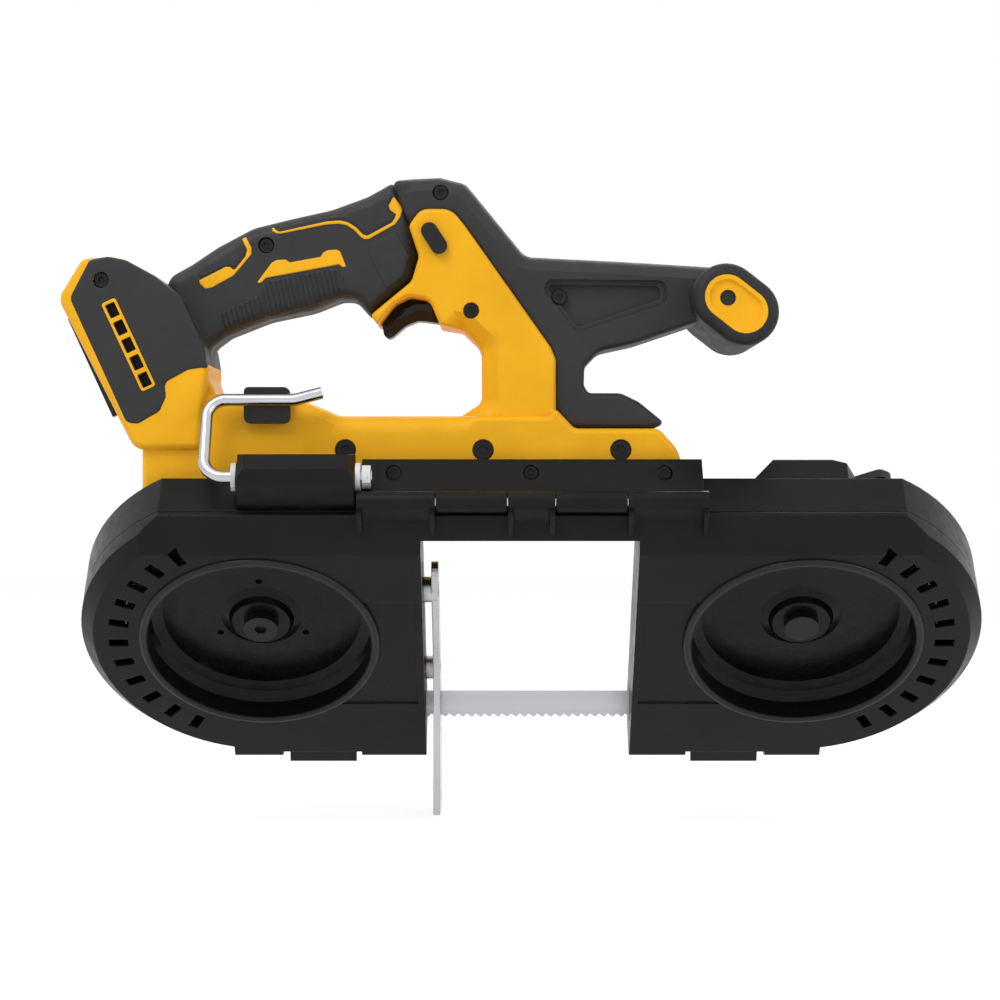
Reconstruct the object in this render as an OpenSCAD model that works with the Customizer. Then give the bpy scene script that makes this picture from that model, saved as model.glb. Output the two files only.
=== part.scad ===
// Portable band saw, all sizes in millimetres.
// The origin lies on the work stop's face, in the plane of the blade, just under the blade.
// +X runs along the cut strand from the stop, +Y away from the hinge side, +Z up to the handle.

/* [Blade and wheels] */
// Radius from a wheel's axis to the middle of the blade
wheel_r = 62.5; // [61:0.5:64]
// Distance between the two wheel axes
wheel_gap = 250.3; // [246:0.1:254]
// Distance from the stop face to the drive wheel's axis
drive_x = 82.3; // [80:0.1:84]
// Width of the blade
blade_w = 12.7; // [11:0.1:13]
// Thickness of the blade
blade_t = 0.6; // [0.5:0.05:0.8]
// Pitch of the saw teeth
tooth_pitch = 4.23; // [3.8:0.01:6]
// Depth of the saw teeth
tooth_depth = 1.6; // [1:0.1:2.2]
// Height of the tooth line above the origin
tooth_z = 4; // [3.5:0.5:6]
// Distance over which the blade twists on each side
twist_len = 40; // [36:1:42]
// Thickness of the rubber tyre on each wheel
tyre_t = 3; // [2:0.5:4]
// Width of the wheel rims
rim_w = 14; // [13:0.5:15]

/* [Deck] */
// Angle between the wheel plane and the upright blade
deck_tilt = 45; // [45:1:45]
// Room around the blade inside the deck's round ends
deck_margin = 19.7; // [18:0.1:21]
// Height of the deck's flat top above the blade's upper strand
top_margin = 8.3; // [7.5:0.1:9.5]
// Depth of the deck's flat foot below the blade's cut strand
foot_margin = 23; // [21.5:0.5:25]
// Level of the deck frame's back face behind the wheel plane
frame_back = 19; // [17:0.5:21]
// Level of the parting face in front of the wheel plane
parting = 2; // [1.5:0.1:3]
// Level of the cover's front face in front of the wheel plane
cover_front = 17; // [15.5:0.5:19]
// Wall of the deck frame and the cover
wall = 2.5; // [2:0.1:3]
// Left side of the throat, measured from the stop face
throat_left = 7; // [6:0.5:8]
// Right side of the throat, measured from the stop face
throat_right = 90.5; // [86:0.5:94]
// Height of the throat's roof above the tooth line
throat_top = 86; // [84:0.5:87]
// Radius of the round window over each wheel
window_r = 51.5; // [48:0.5:54]
// Number of vent slots beside each window
vent_count = 11; // [7:1:12]
// Radius of the arc of vent slots
vent_r = 64.3; // [63:0.1:66]

/* [Hinge, hook and latches] */
// Radius of the hinge pin
hinge_pin_r = 2; // [1.5:0.1:2.4]
// Radius of the hinge knuckles
knuckle_r = 5; // [4.4:0.1:5.2]
// Radius of the steel rod of the hook
rod_r = 2.8; // [2.4:0.1:3.2]
// Reach of the hook above its pivot
hook_reach = 40; // [36:1:44]
// Width of each cover latch
latch_w = 32; // [28:1:34]

/* [Handle and housing] */
// Distance of the housing's middle plane behind the wheel axes
body_set = 4.2; // [2.2:0.1:5]
// Half width of the battery foot
foot_half = 32; // [30:0.5:34]
// Half width of the lower housing
base_half = 28; // [27:0.5:29]
// Half width of the head and the column
head_half = 24; // [23:0.5:25]
// Half width of the handle
grip_half = 19; // [17:0.5:21]
// Half width of the front arm
arm_half = 20; // [18:0.5:22]
// Half length of the cross grip
cross_half = 46; // [42:1:50]
// Radius of the cross grip's rubber
cross_r = 15.3; // [14:0.1:17]
// Width of the trigger
trigger_w = 20; // [16:0.5:22]
// Radius of the small housing screws' heads
screw_r = 3.2; // [2.8:0.1:3.6]
// Radius of the large housing screws' heads
bolt_r = 4.4; // [4:0.1:4.8]

/* [Clearances] */
// Gap between pieces that seat on each other
seat = 0.3; // [0.2:0.05:0.4]
// Radial gap of a running fit
fit = 0.05; // [0.02:0.01:0.1]
// Gap around a piece that slides or swings
slide = 0.5; // [0.4:0.1:0.8]

/* [Drive] */
// Module of the gear teeth
gear_m = 1; // [0.9:0.05:1.1]
// Teeth of the motor pinion
pinion_n = 12; // [10:1:13]
// Teeth of the gear on the drive shaft
gear_n = 48; // [44:1:52]
// Radius of the drive shaft and the idler axle
shaft_r = 6; // [5:0.5:7]

/* [Hidden] */
$fn = 64;
e = 0.01;
big = 400;
idler_x = wheel_gap - drive_x;
wheel_y = -wheel_r * sin(deck_tilt);
wheel_z = blade_w / 2 + wheel_r * cos(deck_tilt);
rim_r = wheel_r - blade_t / 2 - seat;
deck_r = wheel_r + deck_margin;
deck_top = wheel_r + top_margin;
deck_foot = wheel_r + foot_margin;
body_y = wheel_y + body_set;
hinge_v = deck_top + knuckle_r + 0.8;
hinge_t = parting;
window_floor = rim_w / 2 + 1.5;
sleeve_v = deck_top + 10.7;
sleeve_t = -9;
gear_x = gear_m * (pinion_n + gear_n) / 2;
motor_v = 12;
motor_dx = sqrt(gear_x * gear_x - motor_v * motor_v);
case_back = 46;
motor_back = 84;
motor_r = 27;
case_r = 36;
gear_t = [-38, -28];
lean = 28.7;
hook_x = [-104, -29];
sleeve_x = [-88.8, -36.2];
sleeve_y = wheel_y - sin(deck_tilt) * (sleeve_v + sleeve_t);
sleeve_z = wheel_z + cos(deck_tilt) * (sleeve_v - sleeve_t);
lever_x = idler_x - 10;
lever_v = 30;
roller_r = 5;
roller_pin_r = 2;
roller_y = blade_t / 2 + seat + roller_r;
guide_left_x = -18;
guide_right_x = throat_right + 11;

// The saw's own space: the tooth line lies above the origin
module saw() translate([0, 0, tooth_z]) children();

// The deck's space: x along the wheels, y up the tilted deck, z out of its front
module deck() saw() translate([0, wheel_y, wheel_z]) rotate([180 - deck_tilt, 0, 0]) children();

// A piece drawn in the side view (x, z) and standing from y0 to y1
module side(y0, y1) translate([0, y1, 0]) rotate([90, 0, 0]) linear_extrude(y1 - y0) children();

// Corner arc of a rounded outline, from the corner, its neighbours and its radius
function unit(v) = v / norm(v);
function corner(a, b, c, r, n) =
  let (u = unit(a - b), w = unit(c - b), h = acos(max(-1, min(1, u * w))) / 2)
  let (d = min(r / tan(max(h, 1)), norm(a - b) * 0.49, norm(c - b) * 0.49), q = d * tan(h))
  let (m = b + unit(u + w) * q / sin(h), p0 = b + u * d - m, p1 = b + w * d - m)
  let (a0 = atan2(p0.y, p0.x), s = atan2(p0.x * p1.y - p0.y * p1.x, p0 * p1))
  [for (i = [0 : n]) m + q * [cos(a0 + s * i / n), sin(a0 + s * i / n)]];
function rounded(pts, n = 4) =
  let (k = len(pts))
  [for (i = [0 : k - 1]) let (a = pts[(i + k - 1) % k], b = pts[i], c = pts[(i + 1) % k])
    each corner([a.x, a.y], [b.x, b.y], [c.x, c.y], b.z, n)];

// The outline drawn in by d: each edge moves inward and meets its neighbours again
function inward(pts, d) =
  let (k = len(pts))
  [for (i = [0 : k - 1])
    let (a = pts[(i + k - 1) % k], b = pts[i], c = pts[(i + 1) % k])
    let (u = unit([b.x - a.x, b.y - a.y]), w = unit([c.x - b.x, c.y - b.y]))
    let (nu = [-u.y, u.x], nw = [-w.y, w.x], g = nu + nw, turn = u.x * w.y - u.y * w.x)
    let (p = [b.x, b.y] + d * g * 2 / (g * g))
    [p.x, p.y, turn > 0 ? max(b.z - d, 0.3) : b.z + d]];

// A moulded half: the outline stands from the middle plane out to half, and its rim steps in
module moulded(pts, half, edge, side_sign) {
  levels = [[half - edge, 0], [half - edge * 0.45, edge * 0.22], [half, edge * 0.6]];
  for (l = levels)
    side(side_sign < 0 ? body_y - l[0] : body_y, side_sign < 0 ? body_y : body_y + l[0])
      polygon(rounded(inward(pts, l[1])));
}

// Side outlines of the housing as corners [x, z, radius], counter-clockwise
foot_pts = [[-138, 127, 8], [-108, 127, 3], [-104, 165, 8], [-128, 206, 12], [-142, 213, 8],
  [-148, 215.3, 6], [-162, 214.3, 5], [-173, 196, 7]];
foot_dark_pts = [[-141.5, 139, 4], [-136, 138.6, 3], [-126, 144.3, 4], [-123, 151, 4],
  [-123.5, 157.5, 3], [-113.4, 163, 3], [-104.5, 164.5, 1], [-106, 174, 4], [-116, 196, 8],
  [-128, 206, 12], [-142, 213.6, 10], [-150, 215, 6], [-158.5, 213.5, 4], [-167.5, 196, 5]];
base_pts = [[-135, 62, 6], [-14, 62, 6], [-14, 90, 2], [111, 90, 3], [111, 126, 14],
  [101, 137, 6], [54, 137, 3], [54, 142.7, 1], [-44.5, 142.7, 8], [-59.5, 149, 8],
  [-102, 153.1, 2], [-106, 164, 3], [-135, 140, 2]];
head_pts = [[8, 141, 0.5], [54, 141, 0.5], [54, 168.6, 5], [51.6, 174.4, 4], [12.4, 229.9, 8],
  [6, 237.7, 9], [-8, 237.7, 7], [-13.5, 230, 4], [-8.8, 216, 5], [-12.1, 204.6, 6],
  [-31, 189, 2], [-27.5, 184.5, 1], [-20, 194, 6], [-13, 197.6, 6], [-4, 196, 5],
  [1, 184.5, 2], [11, 182.5, 6], [20, 174, 10], [20, 149, 5]];
handle_pts = [[-120, 166, 4], [-104.5, 165.2, 1], [-105.5, 173.8, 6], [-97, 180, 8],
  [-78.2, 187.4, 30], [-58.2, 191.5, 30], [-44.8, 196.8, 8], [-38.2, 196.6, 6],
  [-31.6, 189.2, 1], [-12.6, 205, 5], [-9.3, 216, 5], [-13.9, 229.5, 3], [-16.5, 236, 3],
  [-22.2, 250, 2], [-32.4, 244.4, 20], [-49, 238.3, 40], [-68.6, 233.9, 40],
  [-85.2, 229.8, 20], [-101.8, 221, 20], [-114, 212.8, 15], [-126, 206.2, 8]];
arm_pts = [[54.2, 145, 2], [61.3, 137.2, 4], [99, 137.2, 3], [104.5, 139.5, 2],
  [92.2, 149.5, 10], [84, 153.5, 8], [69, 153.5, 3], [67, 157, 3], [67.2, 165.5, 6],
  [74, 172.6, 8], [90.4, 176.2, 20], [121, 186.5, 2], [123, 213.3, 1], [84.3, 215.7, 30],
  [40, 217.8, 8], [19.5, 243.2, 20], [13, 251.6, 6], [2, 255, 8], [-12, 254, 8],
  [-21.7, 251.5, 3], [-16.2, 236.4, 2], [-13.8, 230.3, 2], [-8.2, 238.1, 7],
  [6.2, 238.1, 9], [12.8, 230.1, 8], [52, 174.6, 4], [54.2, 168.6, 4]];
pocket_pts = [[46.5, 202.5, 3], [63.7, 181.4, 4], [103, 194.5, 4], [102, 202.8, 4]];
trigger_pts = [[1.5, 186, 1], [-4.6, 187, 4], [-9.5, 187.4, 6], [-15.4, 185, 8],
  [-21.2, 179.9, 2], [-23.3, 179.1, 1], [-25.4, 180.8, 2], [-27, 186, 2]];
// Centres of the round ends of the cross grip, seen from the side
cross_a = [130.8, 195.5];
cross_b = [138.5, 186.5];
core_r = cross_r - 5.5;
trigger_pivot = [4, 200];
lock_a = [-3.9, 227.3];
lock_b = [0.5, 220.5];
lock_r = 3.8;
// Screws of the housing: place [x, z], half width of the face there, and head radius
screws = [[-127.7, 133, base_half, screw_r], [-79, 221.3, grip_half, screw_r],
  [-69.9, 200, grip_half, screw_r], [1.1, 245.5, arm_half, screw_r],
  [15.2, 191, head_half, screw_r], [55.7, 197.6, arm_half, screw_r],
  [-152.9, 204.3, foot_half, screw_r], [-42.1, 127.1, base_half, bolt_r],
  [20.7, 127.1, base_half, bolt_r], [83.5, 127.1, base_half, bolt_r]];
screw_deep = 12;
screw_sink = 1.6;

// Deck outline drawn in by g, in the deck's own x and v
module deck_outline(g = 0) {
  foot_left = -99;
  foot_right = 182;
  intersection() {
    union() {
      translate([-drive_x, 0]) circle(deck_r - g, $fn = 96);
      translate([idler_x, 0]) circle(deck_r - g, $fn = 96);
      translate([foot_left + g, -deck_foot + g])
        square([foot_right - foot_left - 2 * g, deck_foot + deck_top - 2 * g]);
    }
    translate([-big, -big]) square([2 * big, big + deck_top - g]);
  }
}

// The throat as a straight passage along Y, widened by g on its sides and roof
module throat(g = 0, down = 200)
  saw() translate([-throat_left - g, -big / 2, throat_top + g - down])
    cube([throat_left + throat_right + 2 * g, big, down]);

// Space in front of the upright face that cuts the cover's top edge, moved in by g
module front_cut(g = 0)
  saw() translate([-big, -big - 97.5 + g, -big / 2]) cube([2 * big, big, big]);

// Slots that let the blade through the throat's walls and the work stop
module blade_slot(x0, x1)
  saw() translate([x0, -2.2, -2]) cube([x1 - x0, 4.4, blade_w + 4]);

latch_left_x = -57;
latch_right_x = 136.6;
latch_side = 3;
recess_deep = 7.5;
latch_pin_r = 1.5;
latch_pivot = [-deck_foot + 4.5, 9];

// Recess for a latch in the deck's foot, widened by g on its sides and roof
module latch_recess(x, g = 0)
  deck() translate([x - latch_w / 2 - latch_side - g, -deck_foot - 1, -frame_back - 1])
    cube([latch_w + 2 * latch_side + 2 * g, recess_deep + 1 + g, 45]);

module latch_pin_hole(x)
  deck() translate([x - latch_w / 2 - latch_side - 1.5, latch_pivot[0], latch_pivot[1]])
    rotate([0, 90, 0]) cylinder(r = latch_pin_r + fit, h = latch_w + 2 * latch_side + 3);

module deck_frame() color("#232323") difference() {
  union() {
    difference() {
      deck() translate([0, 0, -frame_back]) linear_extrude(frame_back + parting) deck_outline();
      difference() {
        deck() translate([0, 0, -frame_back + wall]) linear_extrude(big) deck_outline(wall);
        throat(wall);
        latch_recess(latch_left_x, wall);
        latch_recess(latch_right_x, wall);
      }
    }
    deck() translate([-drive_x, 0, -frame_back]) cylinder(r = 17, h = 9);
    for (y = [-12, 12]) deck()
      translate([idler_x - 34, y - 1.5, -frame_back + wall - e]) cube([60, 3, 6]);
  }
  throat();
  deck() translate([-drive_x, 0, -frame_back - 1]) cylinder(r = shaft_r + fit, h = 20);
  deck() translate([idler_x - 22, -5, -frame_back - 1]) cube([34, 10, wall + 2]);
  blade_slot(-throat_left - wall - 2, throat_right + wall + 2);
  latch_recess(latch_left_x);
  latch_recess(latch_right_x);
}

// Solid form of the cover drawn in by g: two round ends and a bar with a bevelled profile
module cover_form(g = 0) {
  bevel = 6;
  front = cover_front - g;
  intersection() {
    difference() {
      union() {
        for (x = [-drive_x, idler_x]) deck() translate([x, 0, 0]) rotate_extrude($fn = 96)
          polygon([[0, parting + seat], [deck_r - g, parting + seat], [deck_r - g, front - bevel],
            [deck_r - g - bevel, front], [0, front]]);
        deck() translate([-99 + g, 0, 0]) rotate([90, 0, 90]) linear_extrude(281 - 2 * g)
          polygon([[-deck_foot + g, parting + seat], [deck_top - g, parting + seat],
            [deck_top - g, front], [-deck_foot + g + 5, front], [-deck_foot + g, front - 5]]);
      }
      front_cut(g);
    }
    deck() translate([-big, -big, 0]) cube([2 * big, big + deck_top - g, 60]);
  }
}

module vent_slots(x, side_sign)
  for (i = [0 : vent_count - 1]) deck() translate([x, 0, cover_front - wall - 3])
    rotate([0, 0, (side_sign > 0 ? 0 : 180) + (i - (vent_count - 1) / 2) * 11.85])
      translate([vent_r - 4, -2.3, 0]) cube([9, 4.6, wall + 6]);

// Shallow panel between a window and the throat, from x0 to x1
panel_deep = 0.8;
module panel_recess(x0, x1) deck() translate([x0, -43, cover_front - panel_deep])
  cube([x1 - x0, 70, 20]);

// Knuckles of the cover and of the leaf along the hinge
rib_w = 2.4;
hinge_cover = [[-35.3, -0.5], [32, 52.9], [85.4, 121]];
hinge_body = [[0, 31.5], [53.4, 84.9]];

module wheel_cover() color("#1c1c1c") difference() {
  union() {
    difference() {
      union() {
        cover_form();
        for (k = hinge_cover) {
          deck() translate([k[0], deck_top - 8, hinge_t + seat])
            cube([k[1] - k[0], hinge_v - deck_top + 8, knuckle_r - seat]);
          for (x = [k[0], k[1] - rib_w]) deck() translate([x, deck_top - 12, hinge_t + seat])
            cube([rib_w, hinge_v - deck_top + 12, 9]);
        }
      }
      panel_recess(-62, -throat_left - 3);
      panel_recess(throat_right + 3, 148);
      difference() {
        cover_form(wall);
        throat(wall);
        latch_recess(latch_left_x, wall);
        latch_recess(latch_right_x, wall);
        for (x = [-drive_x, idler_x]) deck() translate([x, 0, window_floor])
          cylinder(r = window_r + wall, h = 40, $fn = 96);
      }
      deck() translate([-big, -big, 0]) cube([2 * big, 2 * big, parting + seat]);
    }
    for (x = [-drive_x, idler_x]) deck() translate([x, 0, cover_front - 1])
      cylinder(r = window_r + 3.2, h = 2.2, $fn = 96);
    for (k = hinge_cover)
      deck() translate([k[0], hinge_v, hinge_t]) rotate([0, 90, 0]) cylinder(r = knuckle_r, h = k[1] - k[0]);
  }
  throat();
  for (x = [-drive_x, idler_x]) deck() translate([x, 0, 0])
    cylinder(r = window_r, h = 40, $fn = 96);
  for (x = [-drive_x, idler_x]) deck() translate([x, 0, 0])
    cylinder(r = wheel_r + 2.5, h = window_floor, $fn = 96);
  deck() translate([-60, hinge_v, hinge_t]) rotate([0, 90, 0]) cylinder(r = hinge_pin_r + fit, h = 200);
  for (k = hinge_body) deck() translate([k[0] - seat, hinge_v, hinge_t]) rotate([0, 90, 0])
    cylinder(r = knuckle_r + 1, h = k[1] - k[0] + 2 * seat);
  vent_slots(-drive_x, -1);
  vent_slots(idler_x, 1);
  blade_slot(-throat_left - wall - 2, throat_right + wall + 2);
  latch_recess(latch_left_x);
  latch_recess(latch_right_x);
  latch_pin_hole(latch_left_x);
  latch_pin_hole(latch_right_x);
}

module hinge_pin() color("#b8b8b8")
  deck() translate([hinge_cover[0][0], hinge_v, hinge_t]) rotate([0, 90, 0])
    cylinder(r = hinge_pin_r, h = hinge_cover[2][1] - hinge_cover[0][0]);

leaf_screw_x = [-19.5, 42.4, 102.6];
leaf_x = [-33.9, 119.6];
leaf_z = wheel_z + cos(deck_tilt) * (deck_top + frame_back);
leaf_screw_z = leaf_z + 2.5;
leaf_y = body_y - base_half - seat;
leaf_t = 11;
module hinge_leaf() color("#2b2b2b") difference() {
  union() {
    saw() translate([0, leaf_y, 0]) rotate([90, 0, 0]) linear_extrude(leaf_t)
      polygon(rounded([[leaf_x[0], leaf_z - 10, 0.5], [leaf_x[1], leaf_z - 10, 0.5],
        [leaf_x[1], leaf_z + 7.8, 6], [leaf_x[0], leaf_z + 7.8, 6]]));
    deck() translate([leaf_x[0], deck_top + seat, -frame_back - 8])
      cube([leaf_x[1] - leaf_x[0], 4, frame_back + 7]);
    for (k = hinge_body) {
      deck() translate([k[0], hinge_v, hinge_t]) rotate([0, 90, 0]) cylinder(r = knuckle_r, h = k[1] - k[0]);
      deck() translate([k[0], deck_top + seat, -6]) cube([k[1] - k[0], 5, 8]);
    }
  }
  deck() translate([-big / 2, -big, -frame_back - seat]) cube([big, big + deck_top + seat, 80]);
  deck() translate([-60, hinge_v, hinge_t]) rotate([0, 90, 0]) cylinder(r = hinge_pin_r + seat, h = 200);
  saw() translate([-big, leaf_y, 0]) cube([2 * big, big, big]);
  for (k = hinge_cover) deck() translate([k[0] - seat, hinge_v, hinge_t]) rotate([0, 90, 0])
    cylinder(r = knuckle_r + slide, h = k[1] - k[0] + 2 * seat);
  for (x = leaf_screw_x) saw() translate([x, leaf_y + 1, leaf_screw_z]) rotate([90, 0, 0]) {
    cylinder(r = screw_r / 2 + seat, h = 30);
    translate([0, 0, leaf_t - 3]) cylinder(r = screw_r + seat, h = 30);
  }
}

// A screw with its head outward along -Y and a six-sided socket
module screw(r, head_h, shank) rotate([90, 0, 0]) difference() {
  union() {
    translate([0, 0, -head_h]) cylinder(r = r, h = head_h);
    translate([0, 0, -head_h - shank]) cylinder(r = r / 2, h = shank + e);
  }
  translate([0, 0, -head_h * 0.55]) cylinder(r = r * 0.55, h = head_h, $fn = 6);
}

module leaf_screws() color("#3a3a3a")
  for (x = leaf_screw_x) saw() translate([x, leaf_y - leaf_t + 0.5, leaf_screw_z]) screw(screw_r, 3.2, 14);

module screw_holes() for (s = screws) translate([s[0], body_y - s[2] - 1, s[1]]) rotate([-90, 0, 0]) {
  cylinder(r = s[3] + slide, h = screw_sink + 5);
  cylinder(r = s[3] / 2 + seat, h = screw_sink + screw_deep + 2);
}

module housing_screws() color("#262626")
  for (s = screws) saw() translate([s[0], body_y - s[2] + screw_sink, s[1]])
    screw(s[3], 3, screw_deep - 5);

// Stadium around two points of the side view, its round ends in short straight steps
module stadium(a, b, r, y0, y1) {
  turn = atan2(b.y - a.y, b.x - a.x);
  side(y0, y1) polygon([for (q = [[a, turn + 90], [b, turn - 90]], i = [0 : 20])
    q[0] + r * [cos(q[1] + i * 9), sin(q[1] + i * 9)]]);
}

switch_at = [-46, 204];
switch_size = [34, 26, 20];
module inner_space() {
  translate([-30, body_y - trigger_w / 2 - slide, 176]) cube([38, trigger_w + 2 * slide, 28.5]);
  translate([switch_at.x, body_y - switch_size.y / 2, switch_at.y - e]) cube(switch_size);
  stadium(lock_a, lock_b, lock_r + seat, body_y - 50, body_y + 50);
  translate([trigger_pivot.x, body_y + 14, trigger_pivot.y]) rotate([90, 0, 0])
    cylinder(r = 1.5 + fit, h = 28);
}

// Room that the deck, the gear case and the motor leave for the housing
module deck_space() {
  deck() translate([-big / 2, -big / 2, -frame_back - seat]) cube([big, big, 100]);
  deck() translate([-drive_x, 0, -case_back - seat]) cylinder(r = case_r + seat, h = 60);
  deck() translate([-drive_x + motor_dx, motor_v, -motor_back - seat]) cylinder(r = motor_r + seat, h = 70);
}

module housing_half(s) color("#f2b417") difference() {
  saw() difference() {
    union() {
      difference() {
        moulded(foot_pts, foot_half, 4, s);
        side(body_y - 40, body_y + 40) polygon(rounded(foot_dark_pts));
      }
      moulded(base_pts, base_half, 3, s);
      moulded(head_pts, head_half, 2.5, s);
    }
    side(body_y - 40, body_y + 40) polygon(rounded(foot_dark_pts));
    side(body_y - 40, body_y + 40) polygon(rounded(handle_pts));
    side(body_y - 40, body_y + 40) polygon(rounded(arm_pts));
    inner_space();
    terminal_space();
    if (s < 0) screw_holes();
    if (s < 0) for (x = leaf_screw_x) translate([x, leaf_y - 1, leaf_screw_z]) rotate([-90, 0, 0])
      cylinder(r = screw_r / 2 + seat, h = 9);
  }
  deck_space();
}
module housing_front() housing_half(-1);
module housing_rear() housing_half(1);

// Slots of the battery rail, cut into the slanted face of the foot
rail_from = [-172.5, 195];
rail_to = [-145, 135];
rail_tilt = atan2(rail_to.x - rail_from.x, rail_from.y - rail_to.y);
module terminal_space()
  translate([rail_from.x, body_y, rail_from.y]) rotate([0, -rail_tilt, 0])
    translate([-6, -23, -58]) cube([15, 46, 50]);

module battery_terminal() color("#1a1a1a") saw()
  translate([rail_from.x, body_y, rail_from.y]) rotate([0, -rail_tilt, 0]) {
    translate([3.5, -22.7, -57.7]) cube([5.2, 45.4, 49.4]);
    for (y = [-22.7, 16.7]) translate([-0.5, y, -57.7]) cube([2.2, 6, 49.4]);
    for (y = [-22.7, 20.7]) translate([-0.5, y, -57.7]) cube([4.5, 2, 49.4]);
    for (y = [-10, -3.5, 3, 9.5]) translate([-1, y, -50]) cube([5, 0.8, 22]);
  }

module grip_half_piece(s) color("#2f2f31") saw() difference() {
  union() {
    moulded(foot_dark_pts, foot_half + 0.6, 2.5, s);
    moulded(handle_pts, grip_half, 7, s);
  }
  inner_space();
  terminal_space();
  if (s < 0) screw_holes();
  if (s < 0) side(body_y - 50, body_y - foot_half + 3) difference() {
    polygon(rounded([[-133, 155.2, 2], [-126.4, 153.6, 2], [-145.8, 197.4, 2], [-152.4, 195, 2]]));
    for (i = [1 : 4]) translate([-133.5 - i * 4.3 + 3, 155 + i * 8]) rotate(-25) square([14, 1.4], center = true);
  }
}
module grip_front() grip_half_piece(-1);
module grip_rear() grip_half_piece(1);

module arm_half_piece(s) color("#2a2a2c") saw() difference() {
  union() {
    moulded(arm_pts, arm_half, 4, s);
    stadium(cross_a, cross_b, core_r, body_y + (s < 0 ? -cross_half + 3 : 0),
      body_y + (s < 0 ? 0 : cross_half - 3));
  }
  inner_space();
  if (s < 0) screw_holes();
  side(s < 0 ? body_y - 60 : body_y + arm_half - 1.8, s < 0 ? body_y - arm_half + 1.8 : body_y + 60)
    polygon(rounded(pocket_pts));
  translate([cross_a.x, body_y - 60, cross_a.y]) rotate([-90, 0, 0]) cylinder(r = 2.2, h = 120);
}
module arm_front() arm_half_piece(-1);
module arm_rear() arm_half_piece(1);

module cross_grip() color("#29292b") saw() difference() {
  union() for (l = [[cross_half, 4], [cross_half - 2, 1.6], [cross_half - 6, 0]])
    stadium(cross_a, cross_b, cross_r - l[1], body_y - l[0], body_y + l[0]);
  stadium(cross_a, cross_b, core_r + seat, body_y - 60, body_y + 60);
  difference() {
    side(body_y - arm_half - seat, body_y + arm_half + seat)
      polygon(rounded(inward(arm_pts, -seat)));
    translate([130, -big, 0]) cube([big, 2 * big, big]);
  }
}

module grip_caps() color("#f2b417") saw() for (s = [-1, 1]) difference() {
  stadium(cross_a, cross_b, core_r, body_y + (s < 0 ? -cross_half - 0.5 : cross_half - 3 + seat),
    body_y + (s < 0 ? -cross_half + 3 - seat : cross_half + 0.5));
  stadium(cross_a, cross_b, core_r - 2.2, body_y + (s < 0 ? -cross_half - 2 : cross_half - 0.3),
    body_y + (s < 0 ? -cross_half + 0.3 : cross_half + 2));
  translate([cross_a.x, body_y - 60, cross_a.y]) rotate([-90, 0, 0]) cylinder(r = 3.6, h = 120);
}

module trigger() color("#1d1d1d") saw() difference() {
  union() {
    side(body_y - trigger_w / 2, body_y + trigger_w / 2) polygon(rounded(concat(trigger_pts,
      [[-26, 192, 2], [-20, 198, 3], [-8, 201, 2], [1.5, 200, 1]])));
    translate([trigger_pivot.x, body_y + trigger_w / 2, trigger_pivot.y]) rotate([90, 0, 0])
      cylinder(r = 3.2, h = trigger_w);
    translate([0, body_y - trigger_w / 2, 188]) cube([4, trigger_w, 12]);
  }
  translate([trigger_pivot.x, body_y + 30, trigger_pivot.y]) rotate([90, 0, 0])
    cylinder(r = 1.5 + fit, h = 60);
}
module trigger_pin() color("#b0b0b0") saw()
  translate([trigger_pivot.x, body_y + 14, trigger_pivot.y]) rotate([90, 0, 0]) cylinder(r = 1.5, h = 28);

module lock_button() color("#161616") saw() stadium(lock_a, lock_b, lock_r,
  body_y - head_half - 3, body_y + head_half + 3);

module switch_module() color("#444444") saw()
  translate([switch_at.x + seat, body_y - switch_size.y / 2 + seat, switch_at.y + 1.5])
    cube([switch_size.x - 2 * seat, switch_size.y - 2 * seat, switch_size.z - 1.5 - seat]);

// Steel hook: straight lengths of rod that run a little way into slightly thicker bends
bend_grow = 0.05;
rod_lap = 0.4;
module rod(p, q, r) translate([p.x, 0, p.y]) rotate([0, 90 - atan2(q.y - p.y, q.x - p.x), 0])
  translate([0, 0, -rod_lap]) cylinder(r = r, h = norm(q - p) + 2 * rod_lap);
module bend(c, bend_r, from, turn, r) translate([c.x, 0, c.y]) rotate([90, 0, 0]) rotate([0, 0, from])
  rotate_extrude(angle = turn, $fn = 48) translate([bend_r, 0]) circle(r + bend_grow);
module hook_place() saw() translate([0, sleeve_y, sleeve_z]) rotate([-lean, 0, 0]) children();
module hook_rod() color("#c9ccd0") hook_place() {
  br = 9;
  tip_turn = 17;
  x0 = hook_x[0];
  x1 = -66;
  top = hook_reach;
  rod([x0 + br, 0], [hook_x[1], 0], rod_r);
  bend([x0 + br, br], br, 180, 90, rod_r);
  rod([x0, br], [x0, top - br], rod_r);
  bend([x0 + br, top - br], br, 90, 90, rod_r);
  rod([x0 + br, top], [x1, top], rod_r);
  bend([x1, top + br], br, 270, tip_turn, rod_r);
  rod([x1 + br * sin(tip_turn), top + br * (1 - cos(tip_turn))],
    [x1 + br * sin(tip_turn) + 11 * cos(tip_turn), top + br * (1 - cos(tip_turn)) + 11 * sin(tip_turn)], rod_r);
}
module hook_nut() color("#e8e8e8") saw() translate([-33, sleeve_y, sleeve_z]) rotate([0, 90, 0]) difference() {
  union() {
    cylinder(r = 4.8, h = 2.6);
    cylinder(r = 5.2, h = 3.8, $fn = 6);
  }
  translate([0, 0, -1]) cylinder(r = rod_r + fit, h = 8);
}
module hook_bushes() color("#efefef") for (x = [sleeve_x[0] - 2.5, sleeve_x[1] + 0.2]) saw()
  translate([x, sleeve_y, sleeve_z]) rotate([0, 90, 0]) difference() {
    cylinder(r = 6.3, h = 2.3);
    translate([0, 0, -1]) cylinder(r = rod_r + fit, h = 8);
  }
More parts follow.
